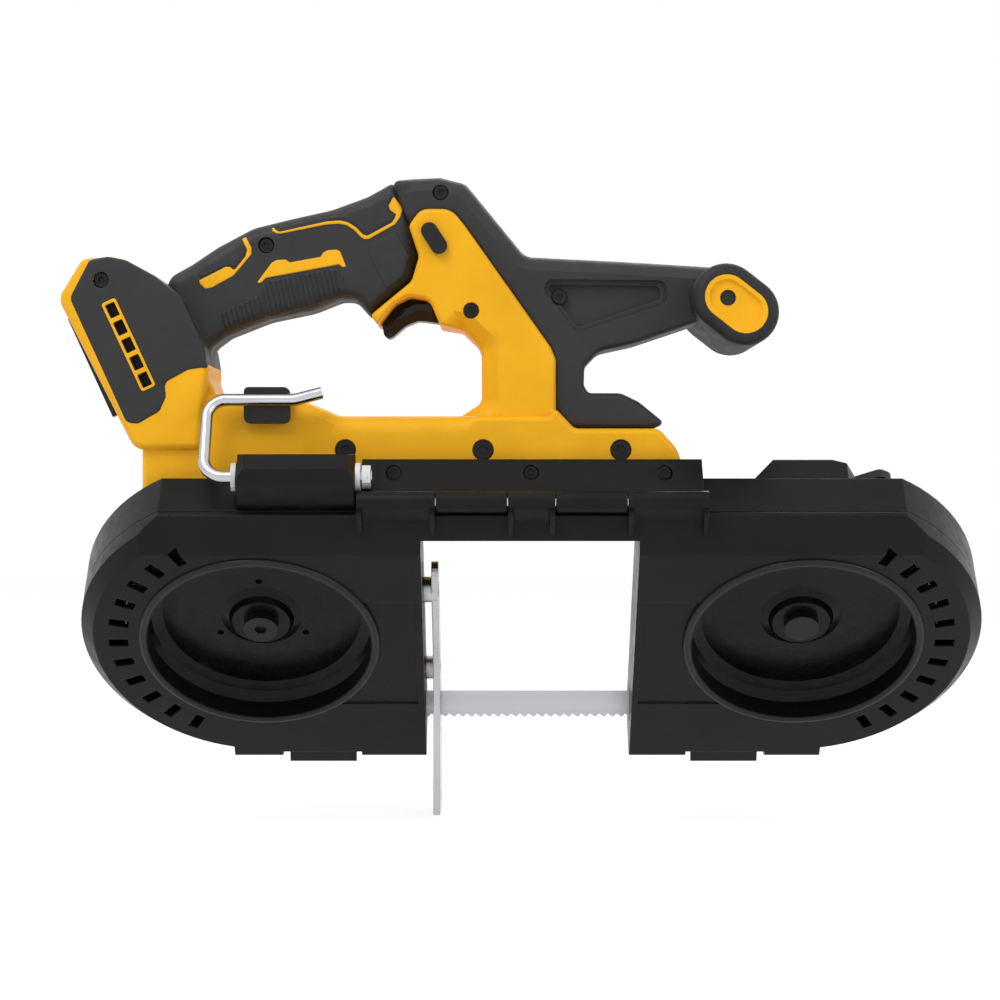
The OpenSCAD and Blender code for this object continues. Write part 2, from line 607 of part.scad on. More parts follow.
module hook_sleeve() color("#2a2a2c") difference() {
  deck() translate([sleeve_x[0], 0, 0]) rotate([90, 0, 90]) linear_extrude(sleeve_x[1] - sleeve_x[0])
    polygon([[deck_top + seat, -19], [deck_top + seat, 1], [deck_top + 15, 1], [deck_top + 20.5, -4.5],
      [deck_top + 20.5, -13.5], [deck_top + 15, -19]]);
  saw() translate([sleeve_x[0] - 1, sleeve_y, sleeve_z]) rotate([0, 90, 0]) cylinder(r = rod_r + fit, h = 80);
  for (x = sleeve_x) deck() translate([x, deck_top + 20.5, sleeve_t]) rotate([0, 0, 45])
    translate([-2.5, -2.5, -20]) cube([5, 5, 40]);
}
module hook_rest() color("#222222") saw()
  translate([0, leaf_y, 0]) rotate([90, 0, 0]) linear_extrude(4.3)
    polygon(rounded([[-88, sleeve_z + 24.5, 3], [-67, sleeve_z + 24.5, 3], [-67, sleeve_z + 41.1, 3],
      [-88, sleeve_z + 41.1, 2]]));

// The blade: its path runs along the cut, round the idler, back over the top and round the drive
blade_len = 2 * wheel_gap + 2 * PI * wheel_r;
teeth = floor(blade_len / tooth_pitch);
arc_len = PI * wheel_r;
function smooth(q) = let (c = max(0, min(1, q))) c * c * (3 - 2 * c);
twist_left = guide_left_x - 9 - twist_len;
twist_right = guide_right_x + 9 + twist_len;
function turned(x) = deck_tilt * (1 - min(smooth((x - twist_left) / twist_len),
  smooth((twist_right - x) / twist_len)));
function up(a) = [0, -sin(a), cos(a)];
// One place on the path: its middle, the direction of its width and the outward direction
function on_arc(cx, a) = let (d = cos(a), v = sin(a))
  [[cx + wheel_r * d, wheel_y - sin(deck_tilt) * wheel_r * v, wheel_z + cos(deck_tilt) * wheel_r * v],
    [0, -sin(deck_tilt), -cos(deck_tilt)],
    [d, -sin(deck_tilt) * v, cos(deck_tilt) * v]];
function blade_at(s) =
  s < wheel_gap ? let (x = s - drive_x, a = turned(x))
    [[x, 0, blade_w / 2], [0, -sin(a), -cos(a)], [0, cos(a), -sin(a)]]
  : s < wheel_gap + arc_len ? on_arc(idler_x, -90 + 180 * (s - wheel_gap) / arc_len)
  : s < 2 * wheel_gap + arc_len ? let (q = on_arc(0, 90))
    [q[0] + [idler_x - (s - wheel_gap - arc_len), 0, 0], q[1], q[2]]
  : on_arc(-drive_x, 90 + 180 * (s - 2 * wheel_gap - arc_len) / arc_len);
function blade_ring(s, deep) = let (b = blade_at(s), w = b[1] * blade_w / 2, n = b[2] * blade_t / 2)
  let (tip = b[1] * (blade_w / 2 - deep))
  [b[0] - w - n, b[0] - w + n, b[0] + tip + n, b[0] + tip - n];
module blade() color("#d8dadd") saw() {
  step = blade_len / teeth;
  rings = [for (i = [0 : teeth - 1]) each [blade_ring(i * step, 0), blade_ring((i + 0.35) * step, tooth_depth)]];
  n = len(rings);
  faces = [for (i = [0 : n - 1], k = [0 : 3])
    let (a = i * 4 + k, b = i * 4 + (k + 1) % 4, j = (i + 1) % n, c = j * 4 + (k + 1) % 4, d = j * 4 + k)
    each [[a, d, c], [a, c, b]]];
  polyhedron([for (r = rings) each r], faces);
}

// Wheels
module wheel(x, holes) color("#1f1f20") deck() translate([x, 0, 0]) difference() {
  inner = rim_r - tyre_t;
  rotate_extrude($fn = 96) polygon([[shaft_r + fit, -9], [13, -9], [16, -3], [48, -3], [52, -6.5],
    [inner, -rim_w / 2], [inner, rim_w / 2], [inner - 4, rim_w / 2], [inner - 8, 2], [46, 0], [19, 0],
    [15, 1.5], [13.4, 4.5], [shaft_r + fit, 4.5]]);
  if (holes) for (a = [90, 210, 330]) rotate(a) translate([23, 0, -20]) cylinder(r = 1.5, h = 40);
}
module tyre(x) color("#111111") deck() translate([x, 0, 0]) rotate_extrude($fn = 96)
  polygon([[rim_r - tyre_t + fit, -rim_w / 2], [rim_r, -rim_w / 2 + 0.5], [rim_r, rim_w / 2 - 0.5],
    [rim_r - tyre_t + fit, rim_w / 2]]);
module drive_wheel() wheel(-drive_x, true);
module drive_tyre() tyre(-drive_x);
module idler_wheel() wheel(idler_x, false);
module idler_tyre() tyre(idler_x);
module drive_shaft() color("#8c8f93") deck() translate([-drive_x, 0, 0]) {
  translate([0, 0, -43]) cylinder(r = shaft_r, h = 49);
  translate([0, 0, 4.5 + seat]) difference() {
    cylinder(r = 8, h = 4);
    translate([0, 0, 2]) cylinder(r = 3, h = 4, $fn = 6);
  }
}

// Outline of a spur gear with straight-sided teeth
module gear_outline(n) {
  pr = gear_m * n / 2;
  half = PI * gear_m / 4 - 0.12;
  slope = tan(20);
  tip = 0.85 * gear_m;
  root = 1.15 * gear_m;
  polygon([for (i = [0 : n - 1]) let (a = 360 * i / n)
    each [for (q = [[-root, -half - root * slope], [tip, -half + tip * slope], [tip, half - tip * slope],
      [-root, half + root * slope]]) let (r = pr + q[0], b = a + q[1] / pr * 180 / PI * 0.97)
      [r * cos(b), r * sin(b)]]]);
}
mesh_angle = atan2(motor_v, motor_dx);
module drive_gear() color("#77797c") deck() translate([-drive_x, 0, gear_t[0]]) rotate(mesh_angle)
  difference() {
    linear_extrude(gear_t[1] - gear_t[0]) gear_outline(gear_n);
    translate([0, 0, -1]) cylinder(r = shaft_r + fit, h = 30);
  }
module motor_rotor() color("#6d6f73") deck() translate([-drive_x + motor_dx, motor_v, 0]) {
  translate([0, 0, gear_t[0]]) rotate(mesh_angle + 180 + 180 / pinion_n)
    linear_extrude(gear_t[1] - gear_t[0]) gear_outline(pinion_n);
  translate([0, 0, -motor_back + 1]) cylinder(r = 2.5, h = motor_back - 26.5);
  translate([0, 0, -77]) cylinder(r = 12, h = 24);
}
module motor_stator() color("#9a5a2c") deck() translate([-drive_x + motor_dx, motor_v, -78]) difference() {
  cylinder(r = motor_r - wall - seat, h = 26);
  translate([0, 0, -1]) cylinder(r = 13, h = 40);
  for (a = [0 : 60 : 300]) rotate(a) translate([17.5, 0, -1]) cylinder(r = 2.6, h = 40);
}
module gear_case() color("#3b3b3d") deck() difference() {
  union() {
    translate([-drive_x, 0, -case_back]) cylinder(r = case_r, h = case_back - frame_back);
    translate([-drive_x + motor_dx, motor_v, -case_back]) cylinder(r = motor_r, h = case_back - frame_back);
  }
  translate([-drive_x, 0, gear_t[0] - 1]) cylinder(r = gear_m * gear_n / 2 + 2, h = gear_t[1] - gear_t[0] + 2);
  translate([-drive_x, 0, -44]) cylinder(r = shaft_r + fit, h = 40);
  translate([-drive_x + motor_dx, motor_v, gear_t[0] - 1])
    cylinder(r = gear_m * pinion_n / 2 + 2, h = gear_t[1] - gear_t[0] + 4);
  translate([-drive_x + motor_dx, motor_v, -case_back - 1]) cylinder(r = 2.5 + fit, h = 21);
}
module motor_housing() color("#2c2c2e") deck() translate([-drive_x + motor_dx, motor_v, -motor_back]) difference() {
  union() {
    translate([0, 0, 4]) cylinder(r = motor_r, h = motor_back - case_back - 4);
    cylinder(r = motor_r - 3, h = 5);
  }
  translate([0, 0, 5]) cylinder(r = motor_r - wall, h = 60);
  translate([0, 0, -1]) cylinder(r = 2.5 + fit, h = 10);
  for (a = [0 : 30 : 330]) rotate(a) translate([11, -1.5, -1]) cube([9, 3, 8]);
}

// Idler on its slider, and the lever that lets it go
idler_travel = 6.05;
module idler_slider() color("#7d8084") deck() translate([idler_x, 0, 0]) {
  translate([-22, -10, -frame_back + wall + seat / 2]) cube([44, 20, 5]);
  translate([0, 0, -12]) cylinder(r = shaft_r, h = 18);
  translate([-8, -4.5, -29]) cube([12, 9, 13]);
  translate([0, 0, 4.5 + seat]) cylinder(r = 8, h = 3.5);
}
module idler_bearing() color("#a9acb0") deck() translate([idler_x, 0, -11.2]) difference() {
  cylinder(r = 9, h = 2);
  translate([0, 0, -1]) cylinder(r = shaft_r + fit, h = 30);
}
module tension_housing() color("#39393b") deck() difference() {
  translate([0, deck_top - 3.8, 0]) rotate([90, 0, 0]) linear_extrude(82)
    polygon([[idler_x - 27, -frame_back], [idler_x - 15, -frame_back - 16],
      [idler_x + 12, -frame_back - 16], [idler_x + 38, -frame_back - 7], [idler_x + 43, -frame_back]]);
  translate([idler_x - 8 - idler_travel - seat, -5, -31]) cube([12 + idler_travel + 2 * seat, 10, 20]);
  translate([lever_x, lever_v, -60]) cylinder(r = 4 + fit, h = 34);
  translate([idler_x - 22, 48, -frame_back - 13.5]) cube([30, 12, 20]);
  translate([idler_x + 34, 40, -60]) rotate([0, 0, 30]) cube([30, 60, 60]);
}
module tension_lever() color("#1f1f21") deck() translate([lever_x, lever_v, 0]) {
  lever_t = -frame_back - 16 - seat;
  translate([0, 0, lever_t - 6]) cylinder(r = 10, h = 6);
  translate([0, 0, lever_t - 1]) cylinder(r = 4, h = 9);
  rotate(24) translate([0, 0, lever_t - 5.5]) linear_extrude(5)
    polygon(rounded([[3, -7, 2], [30, -6, 20], [52, -6, 4], [56, 0, 3], [52, 5, 4], [30, 5, 20], [3, 7, 2]]));
}

// Work stop: a plate beside the throat, held on two spacers
stop_t = 3.2;
stop_pts = [[22, -45.5, 5], [22, 14, 10], [-44, 76, 8], [-60, 76, 8], [-60, 66, 8], [-20, 20, 20], [-20, -45.5, 5]];
stop_screw = [[-50, 63], [-4, 24.5]];
module work_stop() color("#c4c7cb") saw() difference() {
  union() {
    translate([-stop_t, 0, 0]) rotate([90, 0, 90]) linear_extrude(stop_t) polygon(rounded(stop_pts));
    for (q = stop_screw) translate([-throat_left, q.x, q.y]) rotate([0, 90, 0])
      cylinder(r = 6, h = throat_left);
  }
  translate([-20, -2, -tooth_z + 1.5]) cube([40, 4, blade_w + tooth_z + 2]);
  for (q = stop_screw) translate([-throat_left - 1, q.x, q.y]) rotate([0, 90, 0]) {
    cylinder(r = 2 + fit, h = 20);
    translate([0, 0, throat_left - 1.2]) cylinder(r = 4 + seat, h = 10);
  }
}
module stop_screws() color("#55585c") saw() for (q = stop_screw)
  translate([-0.4, q.x, q.y]) rotate([0, -90, 0]) difference() {
    union() {
      cylinder(r = 4, h = 1.8);
      cylinder(r = 2, h = throat_left - 0.4);
    }
    translate([0, 0, -1]) cylinder(r = 2.2, h = 2, $fn = 6);
  }

// Blade guides: a wedge block that seats on the deck's back plate and two rollers on its pins
module guide(x) color("#7b7e82") {
  difference() {
    saw() translate([x - 7, -9, blade_w + seat]) cube([14, 20, 40]);
    deck() translate([-big / 2, -big / 2, -frame_back + wall - big]) cube([big, big, big]);
  }
  for (s = [-1, 1]) saw() translate([x, s * roller_y, -0.5]) cylinder(r = roller_pin_r, h = blade_w + 1);
}
module roller(x, s) color("#b4b7bb") saw() translate([x, s * roller_y, 0.8]) difference() {
  cylinder(r = roller_r, h = 11.4);
  translate([0, 0, -1]) cylinder(r = roller_pin_r + fit, h = 20);
}
module guide_left() guide(guide_left_x);
module guide_right() guide(guide_right_x);
module roller_left_front() roller(guide_left_x, -1);
module roller_left_rear() roller(guide_left_x, 1);
module roller_right_front() roller(guide_right_x, -1);
module roller_right_rear() roller(guide_right_x, 1);

module latch(x) color("#222224") {
  deck() difference() {
    translate([x - latch_w / 2, 0, 0]) rotate([90, 0, 90]) linear_extrude(latch_w) polygon([
      [-deck_foot + recess_deep - seat, -9], [-deck_foot + recess_deep - seat, 8],
      [-deck_foot + recess_deep - 3, 12], [-deck_foot + 1, 12], [-deck_foot - 3, 14],
      [-deck_foot - 5, 12.5], [-deck_foot - 4, 9], [-deck_foot + 1, 4], [-deck_foot + 3.5, -9]]);
    translate([x - 40, latch_pivot[0], latch_pivot[1]]) rotate([0, 90, 0])
      cylinder(r = latch_pin_r + fit, h = 80);
  }
}
module latch_left() latch(latch_left_x);
module latch_right() latch(latch_right_x);
module latch_pins() color("#9a9da1") for (x = [latch_left_x, latch_right_x])
  deck() translate([x - latch_w / 2 - latch_side - 1.2, latch_pivot[0], latch_pivot[1]])
    rotate([0, 90, 0]) cylinder(r = latch_pin_r, h = latch_w + 2 * latch_side + 2.4);

deck_frame();
wheel_cover();
hinge_pin();
hinge_leaf();
leaf_screws();
housing_front();
housing_rear();
grip_front();
grip_rear();
arm_front();
arm_rear();
housing_screws();
cross_grip();
grip_caps();
trigger();
trigger_pin();
lock_button();
switch_module();
battery_terminal();
hook_sleeve();
hook_bushes();
hook_rod();
hook_nut();
hook_rest();
blade();
drive_wheel();
drive_tyre();
drive_shaft();
drive_gear();
idler_wheel();
idler_tyre();
idler_bearing();
idler_slider();
gear_case();
motor_housing();
motor_stator();
motor_rotor();
tension_housing();
tension_lever();
work_stop();
stop_screws();
guide_left();
guide_right();
roller_left_front();
roller_left_rear();
roller_right_front();
roller_right_rear();
latch_left();
latch_right();
latch_pins();
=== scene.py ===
# %% [markdown]
# # A portable band saw
# The construction comes as a finished CAD frame: every plate, wheel, screw and gear is already in its place.
# This lesson dresses it. It sets the camera and the light, gives each part its finish, and puts softer
# moulded shells where the CAD only has stepped ones.

import bmesh
import bpy
import numpy as np
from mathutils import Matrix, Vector
from mathutils.geometry import delaunay_2d_cdt


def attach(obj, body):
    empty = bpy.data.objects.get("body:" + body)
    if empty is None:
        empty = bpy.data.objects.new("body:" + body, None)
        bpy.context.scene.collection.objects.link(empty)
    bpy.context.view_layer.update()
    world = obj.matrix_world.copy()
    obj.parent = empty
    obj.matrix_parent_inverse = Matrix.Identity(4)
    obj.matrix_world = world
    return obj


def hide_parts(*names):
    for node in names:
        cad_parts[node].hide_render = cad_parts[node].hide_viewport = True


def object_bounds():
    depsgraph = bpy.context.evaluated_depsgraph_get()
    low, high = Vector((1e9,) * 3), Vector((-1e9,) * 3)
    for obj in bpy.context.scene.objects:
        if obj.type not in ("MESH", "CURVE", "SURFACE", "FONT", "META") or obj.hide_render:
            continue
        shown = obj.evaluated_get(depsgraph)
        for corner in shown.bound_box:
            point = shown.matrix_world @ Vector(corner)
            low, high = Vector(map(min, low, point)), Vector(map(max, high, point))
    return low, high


MM = 0.001
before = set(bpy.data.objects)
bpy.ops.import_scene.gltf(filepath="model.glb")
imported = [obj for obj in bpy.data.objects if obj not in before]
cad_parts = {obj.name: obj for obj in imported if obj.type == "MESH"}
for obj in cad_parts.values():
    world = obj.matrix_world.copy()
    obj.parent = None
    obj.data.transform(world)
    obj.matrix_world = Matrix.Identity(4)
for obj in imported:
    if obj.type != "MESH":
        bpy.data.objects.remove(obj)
cad_box = [list(corner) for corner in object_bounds()]
print("CAD box in metres:", np.round(cad_box, 4).tolist())

# %% [markdown]
# ## Camera
# The saw was photographed straight from its side with a long lens. A camera can be turned to any view, but
# one that looks along +Y keeps the picture's sides parallel to the saw's X and Z, so that a place in the
# photograph is easy to turn into millimetres.

# %% Place the camera
CAMERA_MM = np.array([28.4, -1300, 108.3])
LENS_MM = 97.3
CLIP_START = 0.01


def show(name, data):
    """A new object for the data, linked into the scene."""
    thing = bpy.data.objects.new(name, data)
    bpy.context.scene.collection.objects.link(thing)
    return thing


camera_data = bpy.data.cameras.new("camera")
camera_data.lens = LENS_MM
camera_data.clip_start = CLIP_START
camera = show("camera", camera_data)
camera.location = CAMERA_MM * MM
camera.rotation_euler = (np.pi / 2, 0, 0)
bpy.context.scene.camera = camera
bpy.context.scene.view_settings.view_transform = "Standard"
print("camera at", tuple(camera.location))

# %% [markdown]
# ## Lamps
# A studio lights dark plastic with large soft boxes, whose reflections show how a face rolls over. Square
# area lamps do the same here: one from the upper left, a weaker one from the right, and one from behind
# for the edges.

# %% Hang the lamps
AIM = Vector((0, 0, 0.1))
# Each lamp's place and side in metres, and its power in watts.
LAMPS = {
    "key_lamp": ((-0.7, -1.0, 1.5), 0.8, 15),
    "fill_lamp": ((1.4, -0.9, 0.8), 0.7, 5),
    "back_lamp": ((0.4, 1.3, 1.1), 1.0, 9),
}
for name, (place, side, watts) in LAMPS.items():
    lamp_data = bpy.data.lights.new(name, "AREA")
    lamp_data.size = side
    lamp_data.energy = watts
    lamp = show(name, lamp_data)
    lamp.location = place
    lamp.rotation_mode = "QUATERNION"
    lamp.rotation_quaternion = (AIM - Vector(place)).to_track_quat("-Z", "Y")
print("soft lamps:", len(LAMPS))


# %% [markdown]
# ## Surround
# The photograph has a plain white background. More light on the saw would bleach it, so the surround is
# white only for rays that come straight from the camera or by way of metal and glass. All other rays see a
# softer grey. Only nodes can tell such rays apart, and a few short helpers keep their wiring readable.

# %% Helpers for nodes
def connect(tree, node, inputs):
    """Links each input whose value is a socket, sets each of the others, and returns the node."""
    for socket, value in inputs.items():
        if isinstance(value, bpy.types.NodeSocket):
            tree.links.new(value, node.inputs[socket])
        else:
            node.inputs[socket].default_value = value
    return node


def add_node(tree, kind, inputs, **settings):
    """A new node with its settings and its inputs."""
    node = tree.nodes.new(kind)
    for name, setting in settings.items():
        setattr(node, name, setting)
    return connect(tree, node, inputs)


def empty_tree(owner):
    """The node tree of a world or a material, with nothing in it."""
    owner.use_nodes = True
    owner.node_tree.nodes.clear()
    return owner.node_tree


def seen_directly(tree):
    """1 for camera, mirror and glass rays and else 0, as the largest of three values of the Light Path."""
    path = tree.nodes.new("ShaderNodeLightPath")
    largest = path.outputs["Is Camera Ray"]
    for ray in ("Is Glossy Ray", "Is Transmission Ray"):
        larger = add_node(tree, "ShaderNodeMath", {0: largest, 1: path.outputs[ray]}, operation="MAXIMUM")
        largest = larger.outputs[0]
    return largest


helpers = (connect, add_node, empty_tree, seen_directly)
print("helpers for nodes:", ", ".join(helper.__name__ for helper in helpers))

# %% White world
WHITE = (1, 1, 1, 1)
SKY_GREY = (0.92, 0.95, 1.0, 1)
SKY_STRENGTH = 0.55

world = bpy.data.worlds.new("surround")
bpy.context.scene.world = world
tree = empty_tree(world)
grey = add_node(tree, "ShaderNodeBackground", {"Color": SKY_GREY, "Strength": SKY_STRENGTH})
white = add_node(tree, "ShaderNodeBackground", {"Color": WHITE})
mix = add_node(tree, "ShaderNodeMixShader", {0: seen_directly(tree), 1: grey.outputs[0], 2: white.outputs[0]})
add_node(tree, "ShaderNodeOutputWorld", {0: mix.outputs[0]})
print("world nodes:", len(tree.nodes))

# %% [markdown]
# The saw stands on pale paper. A matt floor alone would show where it ends, so the paper also glows a
# little for direct rays, and the share that stays matt keeps the saw's shadow.

# %% Pale floor
FLOOR_GAP = 0.0004
FLOOR_HALF = 4
PAPER = (0.9, 0.9, 0.9, 1)
PAPER_GLOW = 1.3
GLOW_SHARE = 0.62

floor_z = cad_box[0][2] - FLOOR_GAP
floor_mesh = bpy.data.meshes.new("floor")
floor_corners = [(x * FLOOR_HALF, y * FLOOR_HALF, floor_z) for x, y in ((-1, -1), (1, -1), (1, 1), (-1, 1))]
floor_mesh.from_pydata(floor_corners, [], [(0, 1, 2, 3)])
floor = show("floor", floor_mesh)
paper = bpy.data.materials.new("paper_floor")
tree = empty_tree(paper)
share = add_node(tree, "ShaderNodeMath", {0: seen_directly(tree), 1: GLOW_SHARE}, operation="MULTIPLY")
matt = add_node(tree, "ShaderNodeBsdfDiffuse", {"Color": PAPER})
glow = add_node(tree, "ShaderNodeEmission", {"Strength": PAPER_GLOW})
mix = add_node(tree, "ShaderNodeMixShader", {0: share.outputs[0], 1: matt.outputs[0], 2: glow.outputs[0]})
add_node(tree, "ShaderNodeOutputMaterial", {0: mix.outputs[0]})
floor_mesh.materials.append(paper)
print("floor at", round(floor_z, 4))

# %% [markdown]
# ## Finishes
# A moulded plastic has a spark-eroded grain, cloudy gloss where hands rub it, and paler edges where it is
# worn. Images could show that, but they stretch over a shape and end at their border. Each finish here is
# made from noise in Object coordinates, so it has the same scale everywhere and stays on the part when it
# moves. The Bevel node eases the look of sharp edges, and the angle between its normal and the real one
# tells where an edge is.

# %% One recipe for every finish
CLOUDS = 38  # large noise, in features per metre
RUBS = 170  # fine noise, in features per metre
TINT = 0.07  # how far the clouds take the colour down and up
TINT_LIFT = 0.002
WORN_TIMES, WORN_LIFT = 1.5, 0.06  # a worn edge's colour
ROUGH_DOWN, ROUGH_UP = 0.07, 0.09
MIDDLE = (0.3, 0.7)  # where most of a noise's values lie
RUB_PATCH = (0.42, 0.62)
EDGE_COSINE = (0.86, 0.985)


def shade(colour, times, lift=0.0):
    """The colour times a number, plus a number, at most 1."""
    return (*[min(1, c * times + lift) for c in colour], 1)


def finish(name, colour, rough, grain, depth, metal=0.0, edge=0.6, wear=0.2, stretch=(1, 1, 1), shine=0.5):
    """The colour varies by TINT with the clouds, and turns pale by the share wear on edges, in rubbed
    patches. The roughness lies from rough - ROUGH_DOWN to rough + ROUGH_UP with the fine noise. A third
    noise gives bumps of a width of grain and a height of depth, and edges are eased to a radius of edge, all
    three in millimetres."""
    mat = bpy.data.materials.new(name)
    mat.use_nodes = True
    tree = mat.node_tree
    place = tree.nodes.new("ShaderNodeTexCoord").outputs["Object"]
    stretched = add_node(tree, "ShaderNodeMapping", {"Vector": place, "Scale": stretch}).outputs[0]

    def noise(scale, detail):
        """Noise of so many features per metre."""
        inputs = {"Vector": stretched, "Scale": scale, "Detail": detail}
        return add_node(tree, "ShaderNodeTexNoise", inputs).outputs["Fac"]

    def span(value, start, end, low, high):
        """The value as a straight line from low at start to high at end, level outside them."""
        inputs = {"Value": value, "From Min": start, "From Max": end, "To Min": low, "To Max": high}
        return add_node(tree, "ShaderNodeMapRange", inputs).outputs["Result"]

    clouds = noise(CLOUDS, detail=4)
    rubs = noise(RUBS, detail=6)
    tint = add_node(tree, "ShaderNodeMix", {
        "A": shade(colour, 1 - TINT),
        "B": shade(colour, 1 + TINT, TINT_LIFT),
        "Factor": span(clouds, *MIDDLE, 0, 1),
    }, data_type="RGBA")
    eased = add_node(tree, "ShaderNodeBevel", {"Radius": edge * MM}, samples=4).outputs[0]
    plain = tree.nodes.new("ShaderNodeNewGeometry").outputs["Normal"]
    cosine = add_node(tree, "ShaderNodeVectorMath", {0: eased, 1: plain}, operation="DOT_PRODUCT")
    near_edge = span(cosine.outputs["Value"], *EDGE_COSINE, wear, 0)
    in_patches = span(rubs, *RUB_PATCH, 0, 1)
    rubbed = add_node(tree, "ShaderNodeMath", {0: near_edge, 1: in_patches}, operation="MULTIPLY")
    worn = add_node(tree, "ShaderNodeMix", {
        "A": tint.outputs["Result"],
        "B": shade(colour, WORN_TIMES, WORN_LIFT),
        "Factor": rubbed.outputs[0],
    }, data_type="RGBA")
    bump = add_node(tree, "ShaderNodeBump", {
        "Strength": 1.0,
        "Distance": depth * MM,
        "Height": noise(1 / (grain * MM), detail=3),
        "Normal": eased,
    })
    connect(tree, tree.nodes["Principled BSDF"], {
        "Metallic": metal,
        "Specular IOR Level": shine,
        "Base Color": worn.outputs["Result"],
        "Roughness": span(rubs, *MIDDLE, rough - ROUGH_DOWN, rough + ROUGH_UP),
        "Normal": bump.outputs[0],
    })
    return mat


print("a finish has a colour, a roughness, and a grain's width and depth in millimetres")

# %% [markdown]
# The photograph shows satin yellow shells, charcoal grip plastic, softer black rubber, deep black deck
# mouldings with a slight gloss, and bright steel. Each gets its own colour, gloss and grain. The blade is
# ground lengthwise and the stop is brushed from front to rear, so their grain is stretched that way.

# %% The plastics and the rubber
yellow = finish("satin_yellow_plastic", (0.93, 0.455, 0.011), 0.42, 0.5, 0.015, shine=0.16)
charcoal = finish("charcoal_grip_plastic", (0.026, 0.026, 0.027), 0.55, 0.55, 0.03, shine=0.3)
pad_grain = finish("coarse_grip_pad", (0.022, 0.022, 0.024), 0.62, 0.75, 0.12, shine=0.4)
rubber = finish("soft_black_rubber", (0.017, 0.017, 0.018), 0.6, 0.5, 0.02, wear=0.08, shine=0.3)
deck_black = finish("deep_black_moulding", (0.0042, 0.0042, 0.0045), 0.34, 0.5, 0.01,
                    edge=1.0, wear=0.12, shine=0.17)
trim_black = finish("black_trim_plastic", (0.008, 0.008, 0.009), 0.34, 0.5, 0.01, shine=0.3)
gloss_black = finish("gloss_black_wheel_paint", (0.004, 0.004, 0.0045), 0.25, 0.9, 0.006,
                     edge=0.5, wear=0.06, shine=0.16)
white_plastic = finish("white_bush_plastic", (0.74, 0.74, 0.73), 0.4, 0.5, 0.01, wear=0)
plastics = (yellow, charcoal, pad_grain, rubber, deck_black, trim_black, gloss_black, white_plastic)
print("plastics and rubber:", len(plastics))

# %% The metals
bright = finish("bright_steel", (0.56, 0.57, 0.59), 0.2, 0.5, 0.0012, metal=1, edge=0.3, wear=0)
brushed = finish("brushed_blade_steel", (0.52, 0.525, 0.54), 0.34, 0.35, 0.003,
                 metal=1, edge=0.1, wear=0, stretch=(0.03, 1, 1))
plate = finish("plated_stop_steel", (0.5, 0.505, 0.52), 0.26, 0.45, 0.002,
               metal=1, edge=0.8, wear=0, stretch=(1, 0.2, 1))
gear_steel = finish("oiled_gear_steel", (0.36, 0.36, 0.37), 0.34, 0.4, 0.004, metal=1, edge=0.3, wear=0)
cast = finish("grey_cast_alloy", (0.13, 0.13, 0.135), 0.5, 0.9, 0.06, metal=0.85)
oxide = finish("black_screw_steel", (0.018, 0.018, 0.019), 0.32, 0.4, 0.006, metal=0.5, edge=0.3, shine=0.3)
windings = finish("copper_windings", (0.55, 0.2, 0.07), 0.35, 0.5, 0.08, metal=0.9, stretch=(6, 6, 0.5))
metals = (bright, brushed, plate, gear_steel, cast, oxide, windings)
print("metals:", len(metals))

# %% [markdown]
# A CAD node whose shape is right stays on show. Its mesh is left alone, and only its material slots change.
# What isn't listed, such as gears and rollers, is oiled steel.

# %% Dress the CAD nodes
WEARS = {
    deck_black: ["deck_frame", "wheel_cover", "hinge_leaf", "hook_sleeve", "tension_housing",
                 "motor_housing"],
    trim_black: ["latch_left", "latch_right", "lock_button", "tension_lever", "switch_module",
                 "battery_terminal", "hook_rest", "trigger"],
    yellow: ["housing_front", "housing_rear", "grip_caps"],
    charcoal: ["grip_front", "grip_rear", "arm_front", "arm_rear"],
    rubber: ["cross_grip", "drive_tyre", "idler_tyre"],
    gloss_black: ["drive_wheel", "idler_wheel"],
    white_plastic: ["hook_bushes", "hook_nut"],
    bright: ["hook_rod", "hinge_pin", "trigger_pin", "latch_pins"],
    plate: ["work_stop"],
    brushed: ["blade"],
    cast: ["gear_case", "guide_left", "guide_right"],
    oxide: ["housing_screws", "leaf_screws", "stop_screws", "drive_shaft", "idler_slider"],
    windings: ["motor_stator"],
}
dressed = {node: mat for mat, nodes in WEARS.items() for node in nodes}
for node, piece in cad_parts.items():
    for slot in piece.material_slots:
        slot.material = dressed.get(node, gear_steel)
print("dressed nodes:", len(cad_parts))


# %% [markdown]
# ## Moulded shells
# The real shells have a flat face that rolls over into their sides. A stack of CAD slabs only hints at
# that, and a Bevel modifier wants evenly spaced edges. Here an outline is filled with points at set
# distances from its edge, and the height over each point depends on that distance alone, so the roll is
# even all the way round. Outlines are in millimetres, and they have to run anticlockwise, seen from the
# front, to get those points.

# %% Outlines with round corners
TINY = 1e-12
SHARPEST = 0.02  # least half angle of a corner, in radians
CORNER_ROOM = 0.49  # share of a side that a corner's circle may take
NEAREST_POINTS = 0.03  # millimetres


def unit(v):
    """v divided by its length."""
    return v / np.maximum(np.linalg.norm(v, axis=-1, keepdims=True), TINY)


